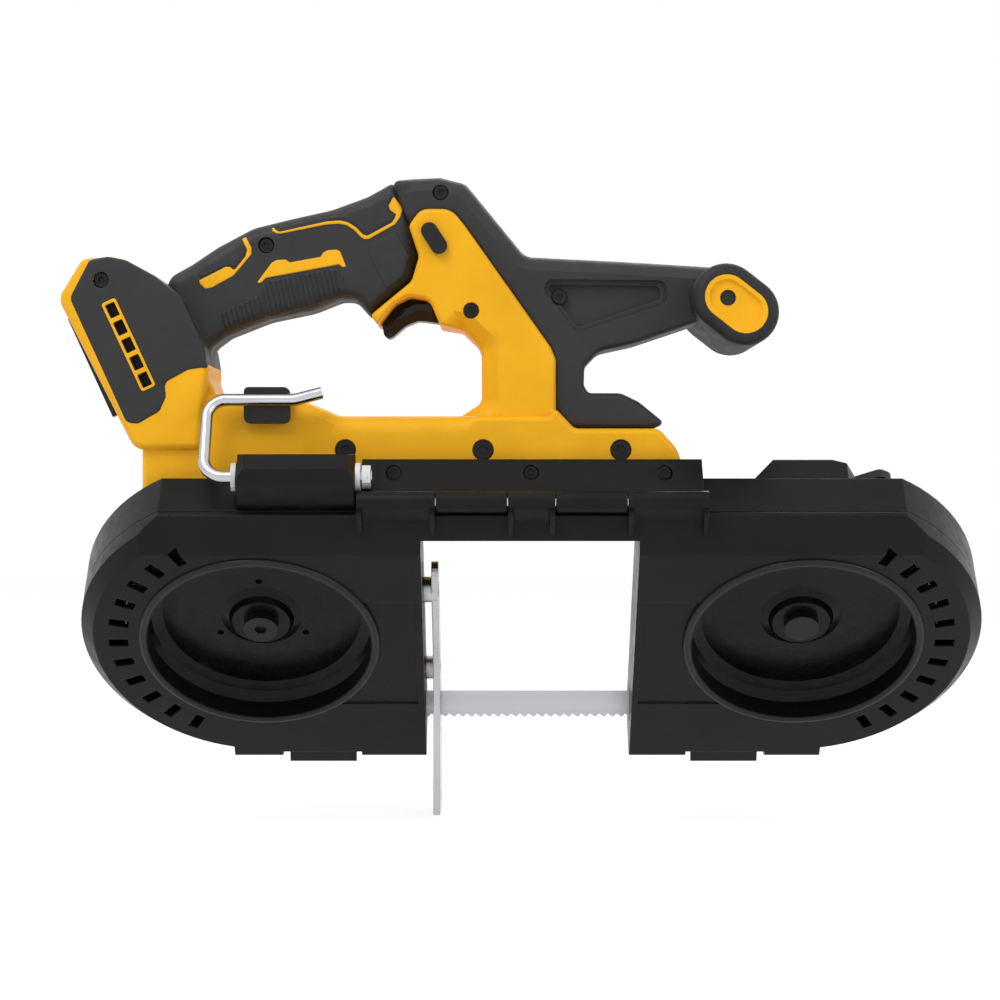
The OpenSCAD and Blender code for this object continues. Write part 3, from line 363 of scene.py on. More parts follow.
def rounded(corners, n=6):
    """Each corner [x, z, r] becomes n + 1 points of a circle that touches both of its sides."""
    c = np.array(corners, float)
    p, r = c[:, :2], c[:, 2]
    back, on = np.roll(p, 1, 0) - p, np.roll(p, -1, 0) - p
    u, w = unit(back), unit(on)
    half = np.maximum(np.arccos(np.clip((u * w).sum(1), -1, 1)) / 2, SHARPEST)
    room = CORNER_ROOM * np.minimum(np.linalg.norm(back, axis=1), np.linalg.norm(on, axis=1))
    d = np.minimum(r / np.tan(half), room)
    q = d * np.tan(half)
    middle = p + unit(u + w) * (q / np.sin(half))[:, None]
    a, b = p + u * d[:, None] - middle, p + w * d[:, None] - middle
    start = np.arctan2(a[:, 1], a[:, 0])
    sweep = np.arctan2(a[:, 0] * b[:, 1] - a[:, 1] * b[:, 0], (a * b).sum(1))
    angle = start[:, None] + sweep[:, None] * np.linspace(0, 1, n + 1)
    return (middle[:, None] + q[:, None, None] * np.stack([np.cos(angle), np.sin(angle)], -1)).reshape(-1, 2)


def spaced(loop, step):
    """The outline with no two neighbours nearer than NEAREST_POINTS or further apart than step."""
    loop = loop[np.linalg.norm(np.roll(loop, -1, 0) - loop, axis=1) > NEAREST_POINTS]
    run = np.roll(loop, -1, 0) - loop
    k = np.maximum(1, np.ceil(np.linalg.norm(run, axis=1) / step)).astype(int)
    i = np.repeat(np.arange(len(loop)), k)
    t = (np.arange(len(i)) - np.repeat(np.cumsum(k) - k, k)) / k[i]
    return loop[i] + run[i] * t[:, None]


sample = spaced(rounded([[0, 0, 2], [30, 0, 2], [30, 20, 2], [0, 20, 2]]), 5)
print("a 30 by 20 mm outline with round corners has", len(sample), "points")


# %% Distances to an outline
CHUNK = 40  # sides of the outline worked on at once, to save memory


def edge_distance(points, loop):
    """Least distance from each point to the outline: |p - a - t (b - a)| with t clipped to 0..1."""
    run = np.roll(loop, -1, 0) - loop
    long = np.maximum((run**2).sum(1), TINY)
    best = np.full(len(points), np.inf)
    for part in np.array_split(np.arange(len(loop)), max(1, len(loop) // CHUNK)):
        gap = points[:, None] - loop[part]
        t = np.clip((gap * run[part]).sum(-1) / long[part], 0, 1)
        best = np.minimum(best, np.linalg.norm(gap - t[..., None] * run[part], axis=-1).min(1))
    return best


def inside(points, loop):
    """True where a ray along +x crosses the outline an odd number of times."""
    a, b = loop, np.roll(loop, -1, 0)
    z = points[:, 1, None]
    over = (a[:, 1] > z) != (b[:, 1] > z)
    rise = np.where(np.abs(b[:, 1] - a[:, 1]) < TINY, TINY, b[:, 1] - a[:, 1])
    crossing = a[:, 0] + (z - a[:, 1]) / rise * (b[:, 0] - a[:, 0])
    return (over & (points[:, 0, None] < crossing)).sum(1) % 2 == 1


def inward(loop):
    """At each point, the unit step from its last to its next neighbour, turned left by a right angle."""
    return unit(np.roll(loop, -1, 0) - np.roll(loop, 1, 0))[:, ::-1] * [-1, 1]


print("the middle of the sample lies", edge_distance(np.array([[15.0, 10.0]]), sample)[0], "mm from its edge")

# %% [markdown]
# The fill has three kinds of points: those of the outline, rings of them where the face rolls over, and a
# triangular grid on the flat part. A Delaunay triangulation joins them, as it makes no needles.

# %% Fill an outline with points
ROW = 0.866  # height of an equilateral triangle of side 1
RING_SLACK = 0.04  # how much nearer than wanted a ring's point may lie to some other side
GRID_GAP = 0.55  # share of the pitch left free between the last ring and the grid
INSIDE_ONLY, WELD = 1, 1e-4  # how the triangulation is told to drop what lies outside, and its tolerance


def fill(loop, offsets, pitch):
    """Points of the outline, of rings at the given offsets inside it, and of a triangular grid further in,
    joined by triangles. Returns the points, the triangles and each point's distance to the outline."""
    offsets = np.array(offsets, float)
    rings = (loop[None] + offsets[:, None, None] * inward(loop)).reshape(-1, 2)
    wanted = np.repeat(offsets, len(loop))
    rings = rings[(edge_distance(rings, loop) > wanted - RING_SLACK) & inside(rings, loop)]
    low, high = loop.min(0), loop.max(0)
    x, z = np.meshgrid(np.arange(low[0], high[0], pitch), np.arange(low[1], high[1], pitch * ROW))
    x = x + pitch / 2 * (np.arange(len(x)) % 2)[:, None]
    grid = np.stack([x, z], -1).reshape(-1, 2)
    grid = grid[inside(grid, loop)]
    grid = grid[edge_distance(grid, loop) > offsets[-1] + pitch * GRID_GAP]
    i = np.arange(len(loop))
    sides = np.stack([i, (i + 1) % len(loop)], 1).tolist()
    points = np.concatenate([loop, rings, grid]).tolist()
    found = delaunay_2d_cdt(points, sides, [], INSIDE_ONLY, WELD)
    flat, triangles = np.array(found[0], float), np.array(found[2])
    return flat, triangles, edge_distance(flat, loop)


def roll_over(d, half, edge, spread):
    """Height over the middle plane: half - edge + edge sqrt(1 - (1 - d / spread)^2), and half past spread."""
    return half - edge + edge * np.sqrt(1 - (1 - np.clip(d / spread, 0, 1)) ** 2)


def roll_rings(spread, count):
    """Distances at which a roll-over of that width has turned by equal angles: spread (1 - cos a)."""
    return spread * (1 - np.cos(np.linspace(0, np.pi / 2, count + 1)[1:]))


print("the sample is filled with", len(fill(sample, roll_rings(3, 4), 4)[1]), "triangles")

# %% [markdown]
# A mesh is kept as its points and a few tables of faces, each of faces with one number of corners, until
# it is put into Blender. There its double points are merged and its faces are turned outwards.

# %% Meshes in millimetres
MERGE, NEEDLE = 2e-6, 1e-6  # metres
SHARP = 32  # degrees


def together(*parts):
    """Several meshes as one."""
    starts = np.cumsum([0] + [len(verts) for verts, tables in parts])
    verts = np.concatenate([verts for verts, tables in parts])
    return verts, [faces + start for start, (_, tables) in zip(starts, parts) for faces in tables]


def smooth(mesh, sharp):
    """Smooth faces, with a crease where neighbours turn by more than sharp degrees."""
    mesh.polygons.foreach_set("use_smooth", np.ones(len(mesh.polygons), bool))
    mesh.set_sharp_from_angle(angle=np.radians(sharp))


def solid_object(name, verts, tables, mat):
    """A mesh in millimetres becomes an object in metres, merged at its seams, with its normals outward."""
    mesh = bpy.data.meshes.new(name)
    mesh.from_pydata((verts * MM).tolist(), [], sum((faces.tolist() for faces in tables), []))
    work = bmesh.new()
    work.from_mesh(mesh)
    bmesh.ops.remove_doubles(work, verts=work.verts, dist=MERGE)
    bmesh.ops.dissolve_degenerate(work, edges=work.edges, dist=NEEDLE)
    bmesh.ops.recalc_face_normals(work, faces=work.faces)
    work.to_mesh(mesh)
    work.free()
    mesh.materials.append(mat)
    return show(name, mesh)


def new_piece(name, verts, tables, mat, body, slot_name, sharp=SHARP):
    """An object that rides on a CAD body, with the finish mat. slot_name is not used."""
    piece = solid_object(name, verts, tables, mat)
    smooth(piece.data, sharp)
    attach(piece, body)
    return piece


print("points closer than", MERGE / MM, "mm are merged")

# %% [markdown]
# A shell is closed: a front face, a rear face and a wall between them. Its wall has a fine groove half way,
# where the two real halves meet. It could be one half and a Mirror modifier, but the cuts that follow
# want one closed mesh.

# %% Closed bodies over an outline
BODY_Y = -40.0  # middle plane of the housing
UP = 4.0  # height of the outlines' zero, the tooth line, over the frame's origin
OUTLINE_STEP = 2.2
BEVEL_MIDDLE = 0.6  # where a further ring of points lies on a broad bevel
PARTING = [(BODY_Y - 0.5, 0.0), (BODY_Y, 0.35), (BODY_Y + 0.5, 0.0)]  # the groove, as (y, inset)


def solid(loop, front, back, offsets, pitch, wall=()):
    """Everything between the surfaces y = front(p, d) and y = back(p, d), where p is a point of the outline's
    inside and d its distance to the edge. wall lists (y, inset) rings of the side between them."""
    flat, triangles, d = fill(loop, offsets, pitch)
    edge = np.zeros(len(loop))

    def ring(y, inset=0.0):
        """The outline at y, moved inwards by inset."""
        moved = loop + inset * inward(loop)
        return np.column_stack([moved[:, 0], np.broadcast_to(y, edge.shape), moved[:, 1] + UP])

    def face(y):
        """The filled outline at y."""
        return np.column_stack([flat[:, 0], y, flat[:, 1] + UP])

    rings = [ring(front(loop, edge)), *[ring(y, inset) for y, inset in wall], ring(back(loop, edge))]
    row, column = np.meshgrid(np.arange(len(rings) - 1), np.arange(len(loop)), indexing="ij")
    here = 2 * len(flat) + row * len(loop)
    below = here + len(loop)
    after = (column + 1) % len(loop)
    quads = np.stack([here + column, here + after, below + after, below + column], -1)
    verts = np.concatenate([face(front(flat, d)), face(back(flat, d)), *rings])
    return verts, [triangles, triangles[:, ::-1] + len(flat), quads.reshape(-1, 4)]


def even_solid(loop, height, offsets, pitch, wall=()):
    """A solid whose two faces lie height(p, d) before and behind the middle plane."""
    return solid(loop, lambda p, d: BODY_Y - height(p, d), lambda p, d: BODY_Y + height(p, d),
                 offsets, pitch, wall)


def slope(p, line, wide, deep):
    """Depth of a broad bevel along an open line: deep (1 - e / wide), with e the distance to the line."""
    there_and_back = np.array(line + line[-2:0:-1], float)
    return deep * np.clip(1 - edge_distance(p, there_and_back) / wide, 0, 1)


def shell(corners, half, edge, spread, pitch=4.0, line=(), wide=7.5, deep=4.5):
    """A closed moulding with a roll-over all round, less a broad bevel along the line if there is one."""
    loop = spaced(rounded(corners), OUTLINE_STEP)
    offsets = roll_rings(spread, 6)
    if line:
        offsets = np.append(offsets, [wide * BEVEL_MIDDLE, wide])

    def height(p, d):
        """Half the moulding's thickness at p."""
        bevel = slope(p, line, wide, deep) if line else 0.0
        return roll_over(d, half, edge, spread) - bevel

    return even_solid(loop, height, offsets, pitch, PARTING)


def mirrored(part):
    """The mesh on the other side of the middle plane: y becomes 2 BODY_Y - y, and its faces turn round."""
    verts, tables = part
    return verts * [1, -1, 1] + [0, 2 * BODY_Y, 0], [faces[:, ::-1] for faces in tables]


print("middle plane at y =", BODY_Y, "mm")

# %% [markdown]
# Holes for screws, the battery and the tilted deck are cut afterwards. Each cutter is a closed solid, and
# the cut is applied at once, so that the piece is a plain mesh again.

# %% Cutters
def prism(loop, y0, y1):
    """The outline pushed straight from y0 to y1."""
    i = np.arange(len(loop))
    j = i + len(loop)
    verts = np.concatenate([np.insert(loop + [0, UP], 1, y, axis=1) for y in (y0, y1)])
    return verts, [np.stack([i, j, np.roll(j, -1), np.roll(i, -1)], 1), i[None], j[None, ::-1]]


def both_prisms(loop, near, far):
    """Two prisms, from near to far on either side of the middle plane."""
    return [prism(loop, BODY_Y - far, BODY_Y - near), prism(loop, BODY_Y + near, BODY_Y + far)]


def disc(x, z, r, y0, y1, n=28):
    """A round plug along Y."""
    a = np.arange(n) * 2 * np.pi / n
    return prism(np.column_stack([x + r * np.cos(a), z + r * np.sin(a)]), y0, y1)


def cut(piece, *cutters, sharp=SHARP):
    """Takes the cutters out of the piece, one after another."""
    for verts, tables in cutters:
        tool = solid_object("cutter", verts, tables, piece.data.materials[0])
        boolean = piece.modifiers.new("cut", "BOOLEAN")
        boolean.operation, boolean.solver, boolean.object = "DIFFERENCE", "EXACT", tool
        left = bpy.data.meshes.new_from_object(piece.evaluated_get(bpy.context.evaluated_depsgraph_get()))
        piece.modifiers.clear()
        old, name, tool_mesh = piece.data, piece.data.name, tool.data
        piece.data = left
        bpy.data.objects.remove(tool)
        for spare in (old, tool_mesh):
            bpy.data.meshes.remove(spare)
        left.name = name
    smooth(piece.data, sharp)
    print(piece.name, "cut, faces:", len(piece.data.polygons))


print("a plug has", len(disc(0, 0, 1, 0, 1)[0]), "points")

# %% [markdown]
# ## Yellow housing
# The battery foot, the lower housing and the head column are one yellow moulding in two halves. It could
# be one outline, but its parts differ in width, so here three shells overlap, one for each width. Each
# corner below is [x, z, radius], seen from the side. OPENING is the line where a hand reaches in, along
# which the housing is bevelled broadly.

# %% Outlines of the housing
FOOT = [[-138, 127, 8], [-108, 127, 3], [-104, 165, 8], [-128, 206, 12], [-142, 213, 8],
        [-148, 215.3, 6], [-162, 214.3, 5], [-173, 196, 7]]
BASE = [[-135, 62, 6], [-14, 62, 6], [-14, 90, 2], [111, 90, 3], [111, 126, 14], [101, 137, 6],
        [62.5, 137, 4], [54.6, 145.4, 3], [51, 145.6, 1], [51, 142.7, 0.5], [-44.5, 142.7, 8],
        [-59.5, 149, 8], [-102, 153.1, 2], [-106, 164, 3], [-135, 140, 2]]
HEAD = [[8, 141, 0.5], [54, 141, 0.5], [54, 168.6, 5], [51.6, 174.4, 4], [12.4, 229.9, 8], [6, 237.7, 9],
        [-8, 237.7, 7], [-13.5, 230, 4], [-8.8, 216, 5], [-12.1, 204.6, 6], [-31, 189, 2], [-27.5, 184.5, 1],
        [-20, 194, 6], [-13, 197.6, 6], [-4, 196, 5], [1, 184.5, 2], [11, 182.5, 6], [20, 174, 10],
        [20, 149, 5]]
OPENING = [[-104, 152.6], [-59.5, 148.5], [-44.5, 142.2], [12, 142.2], [20.4, 150], [20.4, 173.5],
           [11, 183]]
print("corners of the housing:", len(FOOT) + len(BASE) + len(HEAD))

# %% [markdown]
# Screws hold the halves together, and each sits in a round well. The well is cut from the front face
# inwards, so it needs the half width of the moulding that the screw is in.

# %% Wells for the screws
FOOT_HALF, PLATE_HALF, BASE_HALF, HEAD_HALF, GRIP_HALF, ARM_HALF = 32, 32.6, 28, 24, 19, 20
SMALL_SCREW, LARGE_SCREW = 3.2, 4.4
WELL_PLAY, WELL_ABOVE, WELL_DEPTH = 0.5, 2, 5
# Each screw's x and z, the half width there, and its radius.
SCREWS = [
    (-127.7, 133, BASE_HALF, SMALL_SCREW),
    (-79, 221.3, GRIP_HALF, SMALL_SCREW),
    (-69.9, 200, GRIP_HALF, SMALL_SCREW),
    (1.1, 245.5, ARM_HALF, SMALL_SCREW),
    (15.2, 191, HEAD_HALF, SMALL_SCREW),
    (55.7, 197.6, ARM_HALF, SMALL_SCREW),
    (-152.9, 204.3, PLATE_HALF, SMALL_SCREW),
    (-42.1, 127.1, BASE_HALF, LARGE_SCREW),
    (20.7, 127.1, BASE_HALF, LARGE_SCREW),
    (83.5, 127.1, BASE_HALF, LARGE_SCREW),
]
screw_wells = together(*[
    disc(x, z, r + WELL_PLAY, BODY_Y - half - WELL_ABOVE, BODY_Y - half + WELL_DEPTH)
    for x, z, half, r in SCREWS])
print("screw wells:", len(SCREWS))

# %% [markdown]
# The battery slides into a slot along the foot, and five windows beside it let the cooling air in. Both run
# along slanted lines, so their corners are counted along and across such a line.

# %% Slot for the battery and windows of the vent
SLOT_START, SLOT_WAY = np.array([-172.5, 195.0]), unit(np.array([27.5, -60.0]))
SLOT_HALF = 23
VENT_START, VENT_WAY = np.array([-149.0, 193.5]), unit(np.array([19.6, -42.2]))
WINDOWS, WINDOW_PITCH, WINDOW_LONG, WINDOW_HALF, WINDOW_ROUND = 5, 8.7, 6.6, 2.3, 0.5
WINDOW_NEAR, WINDOW_FAR = 26, 36


def slanted_box(start, way, along, across):
    """Four corners of a rectangle whose sides lie at the two values along the way and the two across it."""
    side = np.array([way[1], -way[0]])
    (a0, a1), (b0, b1) = along, across
    return np.array([start + a * way + b * side for a, b in ((a0, b0), (a1, b0), (a1, b1), (a0, b1))])


def with_radius(points, r):
    """Corners [x, z, r] that share one radius."""
    return np.column_stack([points, np.full(len(points), r)])


def window(k):
    """Outline of a window, k windows down the vent."""
    start = VENT_START + (k * WINDOW_PITCH) * VENT_WAY
    corners = slanted_box(start, VENT_WAY, (0, WINDOW_LONG), (-WINDOW_HALF, WINDOW_HALF))
    return spaced(rounded(with_radius(corners, WINDOW_ROUND)), step=9)


slot_box = slanted_box(SLOT_START, SLOT_WAY, along=(8, 58), across=(6, -9))
battery_slot = prism(slot_box, BODY_Y - SLOT_HALF, BODY_Y + SLOT_HALF)
windows = [window(k) for k in range(WINDOWS)]
vent_wells = together(*[well for loop in windows for well in both_prisms(loop, WINDOW_NEAR, WINDOW_FAR)])
print("windows of the vent:", len(windows))

# %% [markdown]
# The deck with its wheels lies in a plane that is tilted by 45 degrees. A large tilted block takes away
# what would reach into it.

# %% Block over the tilted deck
WHEEL_Y, WHEEL_Z = -44.194, 54.544  # the line through the wheels' centres
DIAGONAL = np.sqrt(0.5)
DECK_BACK = -19.3
BLOCK_X, BLOCK_HALF, BLOCK_FRONT = (-220.0, 260.0), 200, 90


def from_deck(x, v, t):
    """The deck's x, v up its slope and t out of it, in the saw's space: y = WHEEL_Y - (v + t) / sqrt 2 and
    z = WHEEL_Z + (v - t) / sqrt 2."""
    y, z = WHEEL_Y - DIAGONAL * (v + t), WHEEL_Z + DIAGONAL * (v - t)
    return np.stack(np.broadcast_arrays(x, y, z), -1)


block_v = np.array([-BLOCK_HALF, BLOCK_HALF, BLOCK_HALF, -BLOCK_HALF])
block_t = np.array([DECK_BACK, DECK_BACK, BLOCK_FRONT, BLOCK_FRONT])
block_corners = np.concatenate([from_deck(x, block_v, block_t) for x in BLOCK_X])
block_faces = np.array([[0, 1, 2, 3], [7, 6, 5, 4], [0, 4, 5, 1], [1, 5, 6, 2], [2, 6, 7, 3], [3, 7, 4, 0]])
deck_block = (block_corners, [block_faces])
print("corners of the deck block:", len(block_corners))

# %% Build the housing
housing = new_piece("housing_shell", *together(
    shell(FOOT, FOOT_HALF, edge=5, spread=3.4),
    shell(BASE, BASE_HALF, edge=4, spread=2.6, line=OPENING, wide=4.5, deep=3.5),
    shell(HEAD, HEAD_HALF, edge=3, spread=2.0, pitch=3.0, line=OPENING, deep=6.5),
), yellow, "saw", "yellow_plastic")
cut(housing, deck_block, battery_slot, screw_wells, vent_wells)
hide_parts("housing_front", "housing_rear")

# %% [markdown]
# ## Rear grip
# The handle is nearly round to suit a hand, and a flat plate of the same plastic covers the battery foot.
# Both are shells like the housing's, but the handle rolls over much further.

# %% Build the grip
FOOT_PLATE = [[-141.5, 139, 4], [-136, 138.6, 3], [-126, 144.3, 4], [-123, 151, 4], [-123.5, 157.5, 3],
              [-113.4, 163, 3], [-104.5, 164.5, 1], [-106, 174, 4], [-116, 196, 8], [-128, 206, 12],
              [-142, 213.6, 10], [-150, 215, 6], [-158.5, 213.5, 4], [-167.5, 196, 5]]
HANDLE = [[-120, 166, 4], [-104.5, 165.2, 1], [-105.5, 173.8, 6], [-97, 180, 8], [-78.2, 187.4, 30],
          [-58.2, 191.5, 30], [-44.8, 196.8, 8], [-38.2, 196.6, 6], [-31.6, 189.2, 1], [-12.6, 205, 5],
          [-9.3, 216, 5], [-11.2, 229.5, 3], [-13.6, 238, 3], [-18.6, 250, 2], [-22.2, 250.2, 2],
          [-32.4, 244.4, 20], [-49, 238.3, 40], [-68.6, 233.9, 40], [-85.2, 229.8, 20], [-101.8, 221, 20],
          [-114, 212.8, 15], [-126, 206.2, 8]]
GRIP_ROUND = dict(half=GRIP_HALF, edge=9.5, spread=6.0)

grip = new_piece("grip_shell", *together(
    shell(FOOT_PLATE, PLATE_HALF, edge=2, spread=1.4),
    shell(HANDLE, **GRIP_ROUND, pitch=3.0),
), charcoal, "saw", "grey_plastic")
cut(grip, battery_slot, screw_wells, vent_wells)
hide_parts("grip_front", "grip_rear")

# %% [markdown]
# ## Arm
# The arm runs from the top of the head down to the base and out to the cross grip. A four-sided pocket,
# with a step near its floor, makes it lighter. A broad bevel follows its upper line.

# %% Build the arm
ARM = [[52.6, 146, 2], [60.6, 137.2, 4], [99, 137.2, 3], [104.5, 139.5, 2], [92.2, 149.5, 10],
       [84, 153.5, 8], [69, 153.5, 3], [67, 157, 3], [67.2, 165.5, 6], [74, 172.6, 8], [90.4, 176.2, 20],
       [124, 187.5, 2], [126, 211.9, 1], [84.3, 214.4, 30], [40, 216.6, 8], [19.5, 241.8, 20],
       [12.6, 250.2, 6], [1, 253.2, 8], [-12, 252.6, 8], [-21.7, 250.6, 3], [-16.2, 236.4, 2],
       [-12.6, 229.4, 2], [-7.6, 236.3, 7], [5.6, 236.3, 9], [11.6, 229.2, 8], [50.6, 173.9, 4],
       [52.6, 168.4, 4]]
ARM_TOP = [[127, 212], [84.3, 214.4], [42, 216.5], [20, 241.2], [12.6, 250.2], [1, 253.2], [-12, 252.6]]
POCKET = [[44.6, 205.6, 4], [63.5, 180.8, 4], [105.4, 194.6, 4], [104.4, 205, 4]]
POCKET_FLOOR = [[48.6, 203.4, 2], [64.4, 183.6, 2], [102.2, 196.6, 2], [101.4, 202.6, 2]]
POCKET_NEAR, FLOOR_NEAR, POCKET_FAR = 17.8, 15.4, 24

arm = new_piece("arm_shell", *shell(
    ARM, ARM_HALF, edge=4, spread=2.4, pitch=3.0, line=ARM_TOP, wide=6.5, deep=6,
), charcoal, "saw", "grey_plastic")
steps = zip(both_prisms(rounded(POCKET), POCKET_NEAR, POCKET_FAR),
            both_prisms(rounded(POCKET_FLOOR), FLOOR_NEAR, POCKET_FAR))
cut(arm, screw_wells, *[step for pair in steps for step in pair])
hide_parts("arm_front", "arm_rear")

# %% [markdown]
# ## Cross grip
# The front hand holds a fat rubber bar across the arm. Its section is an oval, two half circles joined by
# short straights. A cylinder that is scaled flat would give a thinner oval, so the same filled outline is
# used once more, with shallow ridges in its wall.

# %% Rubber bar
BAR_CENTRES = np.array([[130.4, 195.8], [139.0, 189.1]])
BAR_WAY = np.arctan2(-6.9, 8.9)
BAR_ROUND, BAR_HALF, BAR_EDGE, BAR_SPREAD, BAR_SHARP = 15.3, 46, 5, 4.5, 50
RIDGE_REACH, RIDGE_PITCH, RIDGE_DEPTH = 36, 4, 0.45
SOCKET_ROUND, SOCKET_FLOOR = 10.05, 43.4


def oval(r):
    """Two half circles of radius r about the bar's two centres."""
    turn = np.radians(np.arange(0, 181, 9))
    angles = (BAR_WAY + np.pi / 2 + turn, BAR_WAY - np.pi / 2 + turn)
    arcs = zip(BAR_CENTRES, angles)
    return np.concatenate([centre + r * np.column_stack([np.cos(a), np.sin(a)]) for centre, a in arcs])


ridge_places = np.arange(-RIDGE_REACH, RIDGE_REACH + 0.1, RIDGE_PITCH)
ridges = [(BODY_Y + y, 0.0 if k % 2 else RIDGE_DEPTH) for k, y in enumerate(ridge_places)]
bar = new_piece("cross_grip_rubber", *even_solid(
    spaced(oval(BAR_ROUND), step=3), lambda p, d: roll_over(d, BAR_HALF, BAR_EDGE, BAR_SPREAD),
    roll_rings(BAR_SPREAD, 7), pitch=4, wall=ridges,
), rubber, "saw", "rubber", sharp=BAR_SHARP)
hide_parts("cross_grip")
sockets = both_prisms(spaced(oval(SOCKET_ROUND), step=2), SOCKET_FLOOR, BAR_HALF + 1)
cut(bar, *sockets, sharp=BAR_SHARP)

# %% [markdown]
# A yellow cap closes each end of the bar. Its rim stands out and its floor is sunk a little, with the hole
# of a screw in it.

# %% Caps of the bar
CAP_ROUND, CAP_TOP, CAP_FOOT, CAP_SINK = 9.95, 45.9, 42.8, 1.5
RIM, RIM_SLOPE = 2.1, 0.7
RIM_RINGS = [0.4, 1.2, 2.0, 2.2, 2.45, 2.7, 2.9]
HOLE_X, HOLE_Z, HOLE_R, HOLE_REACH = 131.0, 195.3, 3.6, 50


def cap_face(p, d):
    """CAP_TOP before the middle plane on the rim, and CAP_SINK less past the rim's slope."""
    return BODY_Y - (CAP_TOP - CAP_SINK * np.clip((d - RIM) / RIM_SLOPE, 0, 1))


def cap_foot(p, d):
    """CAP_FOOT before the middle plane everywhere."""
    return BODY_Y - CAP_FOOT + 0 * d


front_cap = solid(spaced(oval(CAP_ROUND), step=1.5), cap_face, cap_foot, RIM_RINGS, pitch=2.2)
caps = new_piece("cross_grip_caps", *together(front_cap, mirrored(front_cap)),
                 yellow, "saw", "yellow_plastic")
cut(caps, disc(HOLE_X, HOLE_Z, HOLE_R, BODY_Y - HOLE_REACH, BODY_Y + HOLE_REACH))
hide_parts("grip_caps")

# %% [markdown]
# ## Trigger
# The trigger is a small curved moulding behind the yellow guard. It moves by itself, so it is a piece of
# its own that rides on the trigger's body, and its upper edge keeps clear of the handle when it is pulled.
# Its outline runs clockwise, so it gets no points near its edge, and a straight slope stands in for a roll.

# %% Trigger
TRIGGER = [[1.5, 186, 1], [-4.6, 187, 4], [-9.5, 187.4, 6], [-15.4, 185, 8], [-21.2, 179.9, 2],
           [-23.3, 179.1, 1], [-25.4, 180.8, 2], [-26.3, 185.6, 2], [-23.6, 189.6, 2], [-18.5, 195.5, 3],
           [-12, 199, 2], [1.5, 200, 1]]
TRIGGER_ROUND = dict(half=10, edge=4, spread=3)

trigger = new_piece("trigger_paddle", *even_solid(
    spaced(rounded(TRIGGER), step=1.0), lambda p, d: roll_over(d, **TRIGGER_ROUND),
    roll_rings(TRIGGER_ROUND["spread"], 5), pitch=1.5,
), trim_black, "trigger", "black_plastic")
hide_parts("trigger")
print("trigger faces:", len(trigger.data.polygons))

# %% [markdown]
# ## Trim on the grip
# Yellow lines, a bare yellow plate, grained pads and a row of ribs lie on the rounded grip. Shrinkwrap
# could lay them on it, but the grip's height is a formula, so each is a thin sheet whose height is that
# formula plus a small lift, which falls off at its own edge.

# %% Lay a patch on the grip
PATCH_SINK = 0.7
PATCH_STEP, PATCH_SHARP = 1.0, 40
PATCH_RINGS = np.array([0.3, 0.65, 1.0])
grip_loop = spaced(rounded(HANDLE), OUTLINE_STEP)


def on_grip(p):
    """Height of the grip's surface over the middle plane."""
    return roll_over(edge_distance(p, grip_loop), **GRIP_ROUND)


def anticlockwise(loop):
    """The outline, turned round where its area, half the sum of x z' - x' z, is negative."""
    on = np.roll(loop, -1, 0)
    return loop[::-1] if (loop[:, 0] * on[:, 1] - loop[:, 1] * on[:, 0]).sum() < 0 else loop


def patch(name, corners, mat, slot_name, lift, ease=0.5, pitch=1.3, wave=None):
    """A sheet on both sides of the grip. It lies lift sqrt(1 - (1 - d / ease)^2) over it, plus the wave."""
    def front(p, d):
        """The sheet's upper side."""
        waves = wave(p, d) if wave else 0
        return BODY_Y - on_grip(p) - (lift * np.sqrt(1 - (1 - np.clip(d / ease, 0, 1)) ** 2) + waves)

    def back(p, d):
        """The sheet's lower side, inside the grip."""
        return BODY_Y - on_grip(p) + PATCH_SINK

    loop = anticlockwise(spaced(rounded(corners, n=4), PATCH_STEP))
    sheet = solid(loop, front, back, ease * PATCH_RINGS, pitch)
    return new_piece(name, *together(sheet, mirrored(sheet)), mat, "saw", slot_name, sharp=PATCH_SHARP)


print("grip surface above its middle:", on_grip(np.array([[-60.0, 212.0]]))[0], "mm")

# %% [markdown]
# The outlines of the trim were read off an enlarged part of the photograph, in that part's own pixels. They
# become millimetres by way of the camera: a pixel is as wide on the grip's face as the lens and the distance
# make it, and the middle of the photograph is straight in front of the camera.

# %% Outlines of the trim, in pixels
PHOTO_MIDDLE = 500
PART_CORNER = np.array([180, 170])
ENLARGED = 6.533
FACE_PIXEL = 0.4592  # millimetres on the grip's face
REAR_LINE = [(402, 446), (430, 436), (467, 508), (466, 552), (350, 690), (205, 770), (165, 775), (132, 745),
             (124, 722), (300, 632), (330, 635), (345, 652), (362, 648), (428, 565), (438, 520)]
FRONT_LINE = [(594, 380), (613, 374), (625, 392), (650, 404), (955, 337), (1045, 330), (1100, 343),
              (1150, 375), (1195, 422), (1225, 430), (1385, 343), (1405, 312), (1412, 290), (1372, 262),
              (1363, 232), (1396, 172), (1445, 235), (1452, 262), (1440, 305), (1405, 355), (1235, 450),
              (1205, 453), (1180, 437), (1135, 390), (1090, 362), (1040, 352), (960, 356), (655, 417),
              (628, 413), (605, 398)]
BARE_PLATE = [(500, 740), (600, 605), (635, 588), (688, 585), (718, 604), (918, 568), (936, 540),
              (965, 524), (1022, 520), (1047, 532), (1086, 632), (1062, 636), (1038, 617), (1000, 625),
              (560, 706), (530, 738)]
REAR_PAD = [(112, 640), (392, 458), (426, 518), (418, 555), (356, 636), (322, 620), (128, 706)]
TOP_PAD = [(634, 380), (950, 290), (1340, 150), (1386, 172), (1352, 232), (1362, 268), (1396, 300),
           (1376, 333), (1225, 416), (1200, 410), (1152, 360), (1100, 330), (1045, 317), (950, 324),
           (652, 390)]
SIX_SIDED_PAD = [(1240, 480), (1410, 405), (1500, 560), (1462, 692), (1360, 770), (1340, 760), (1240, 560)]
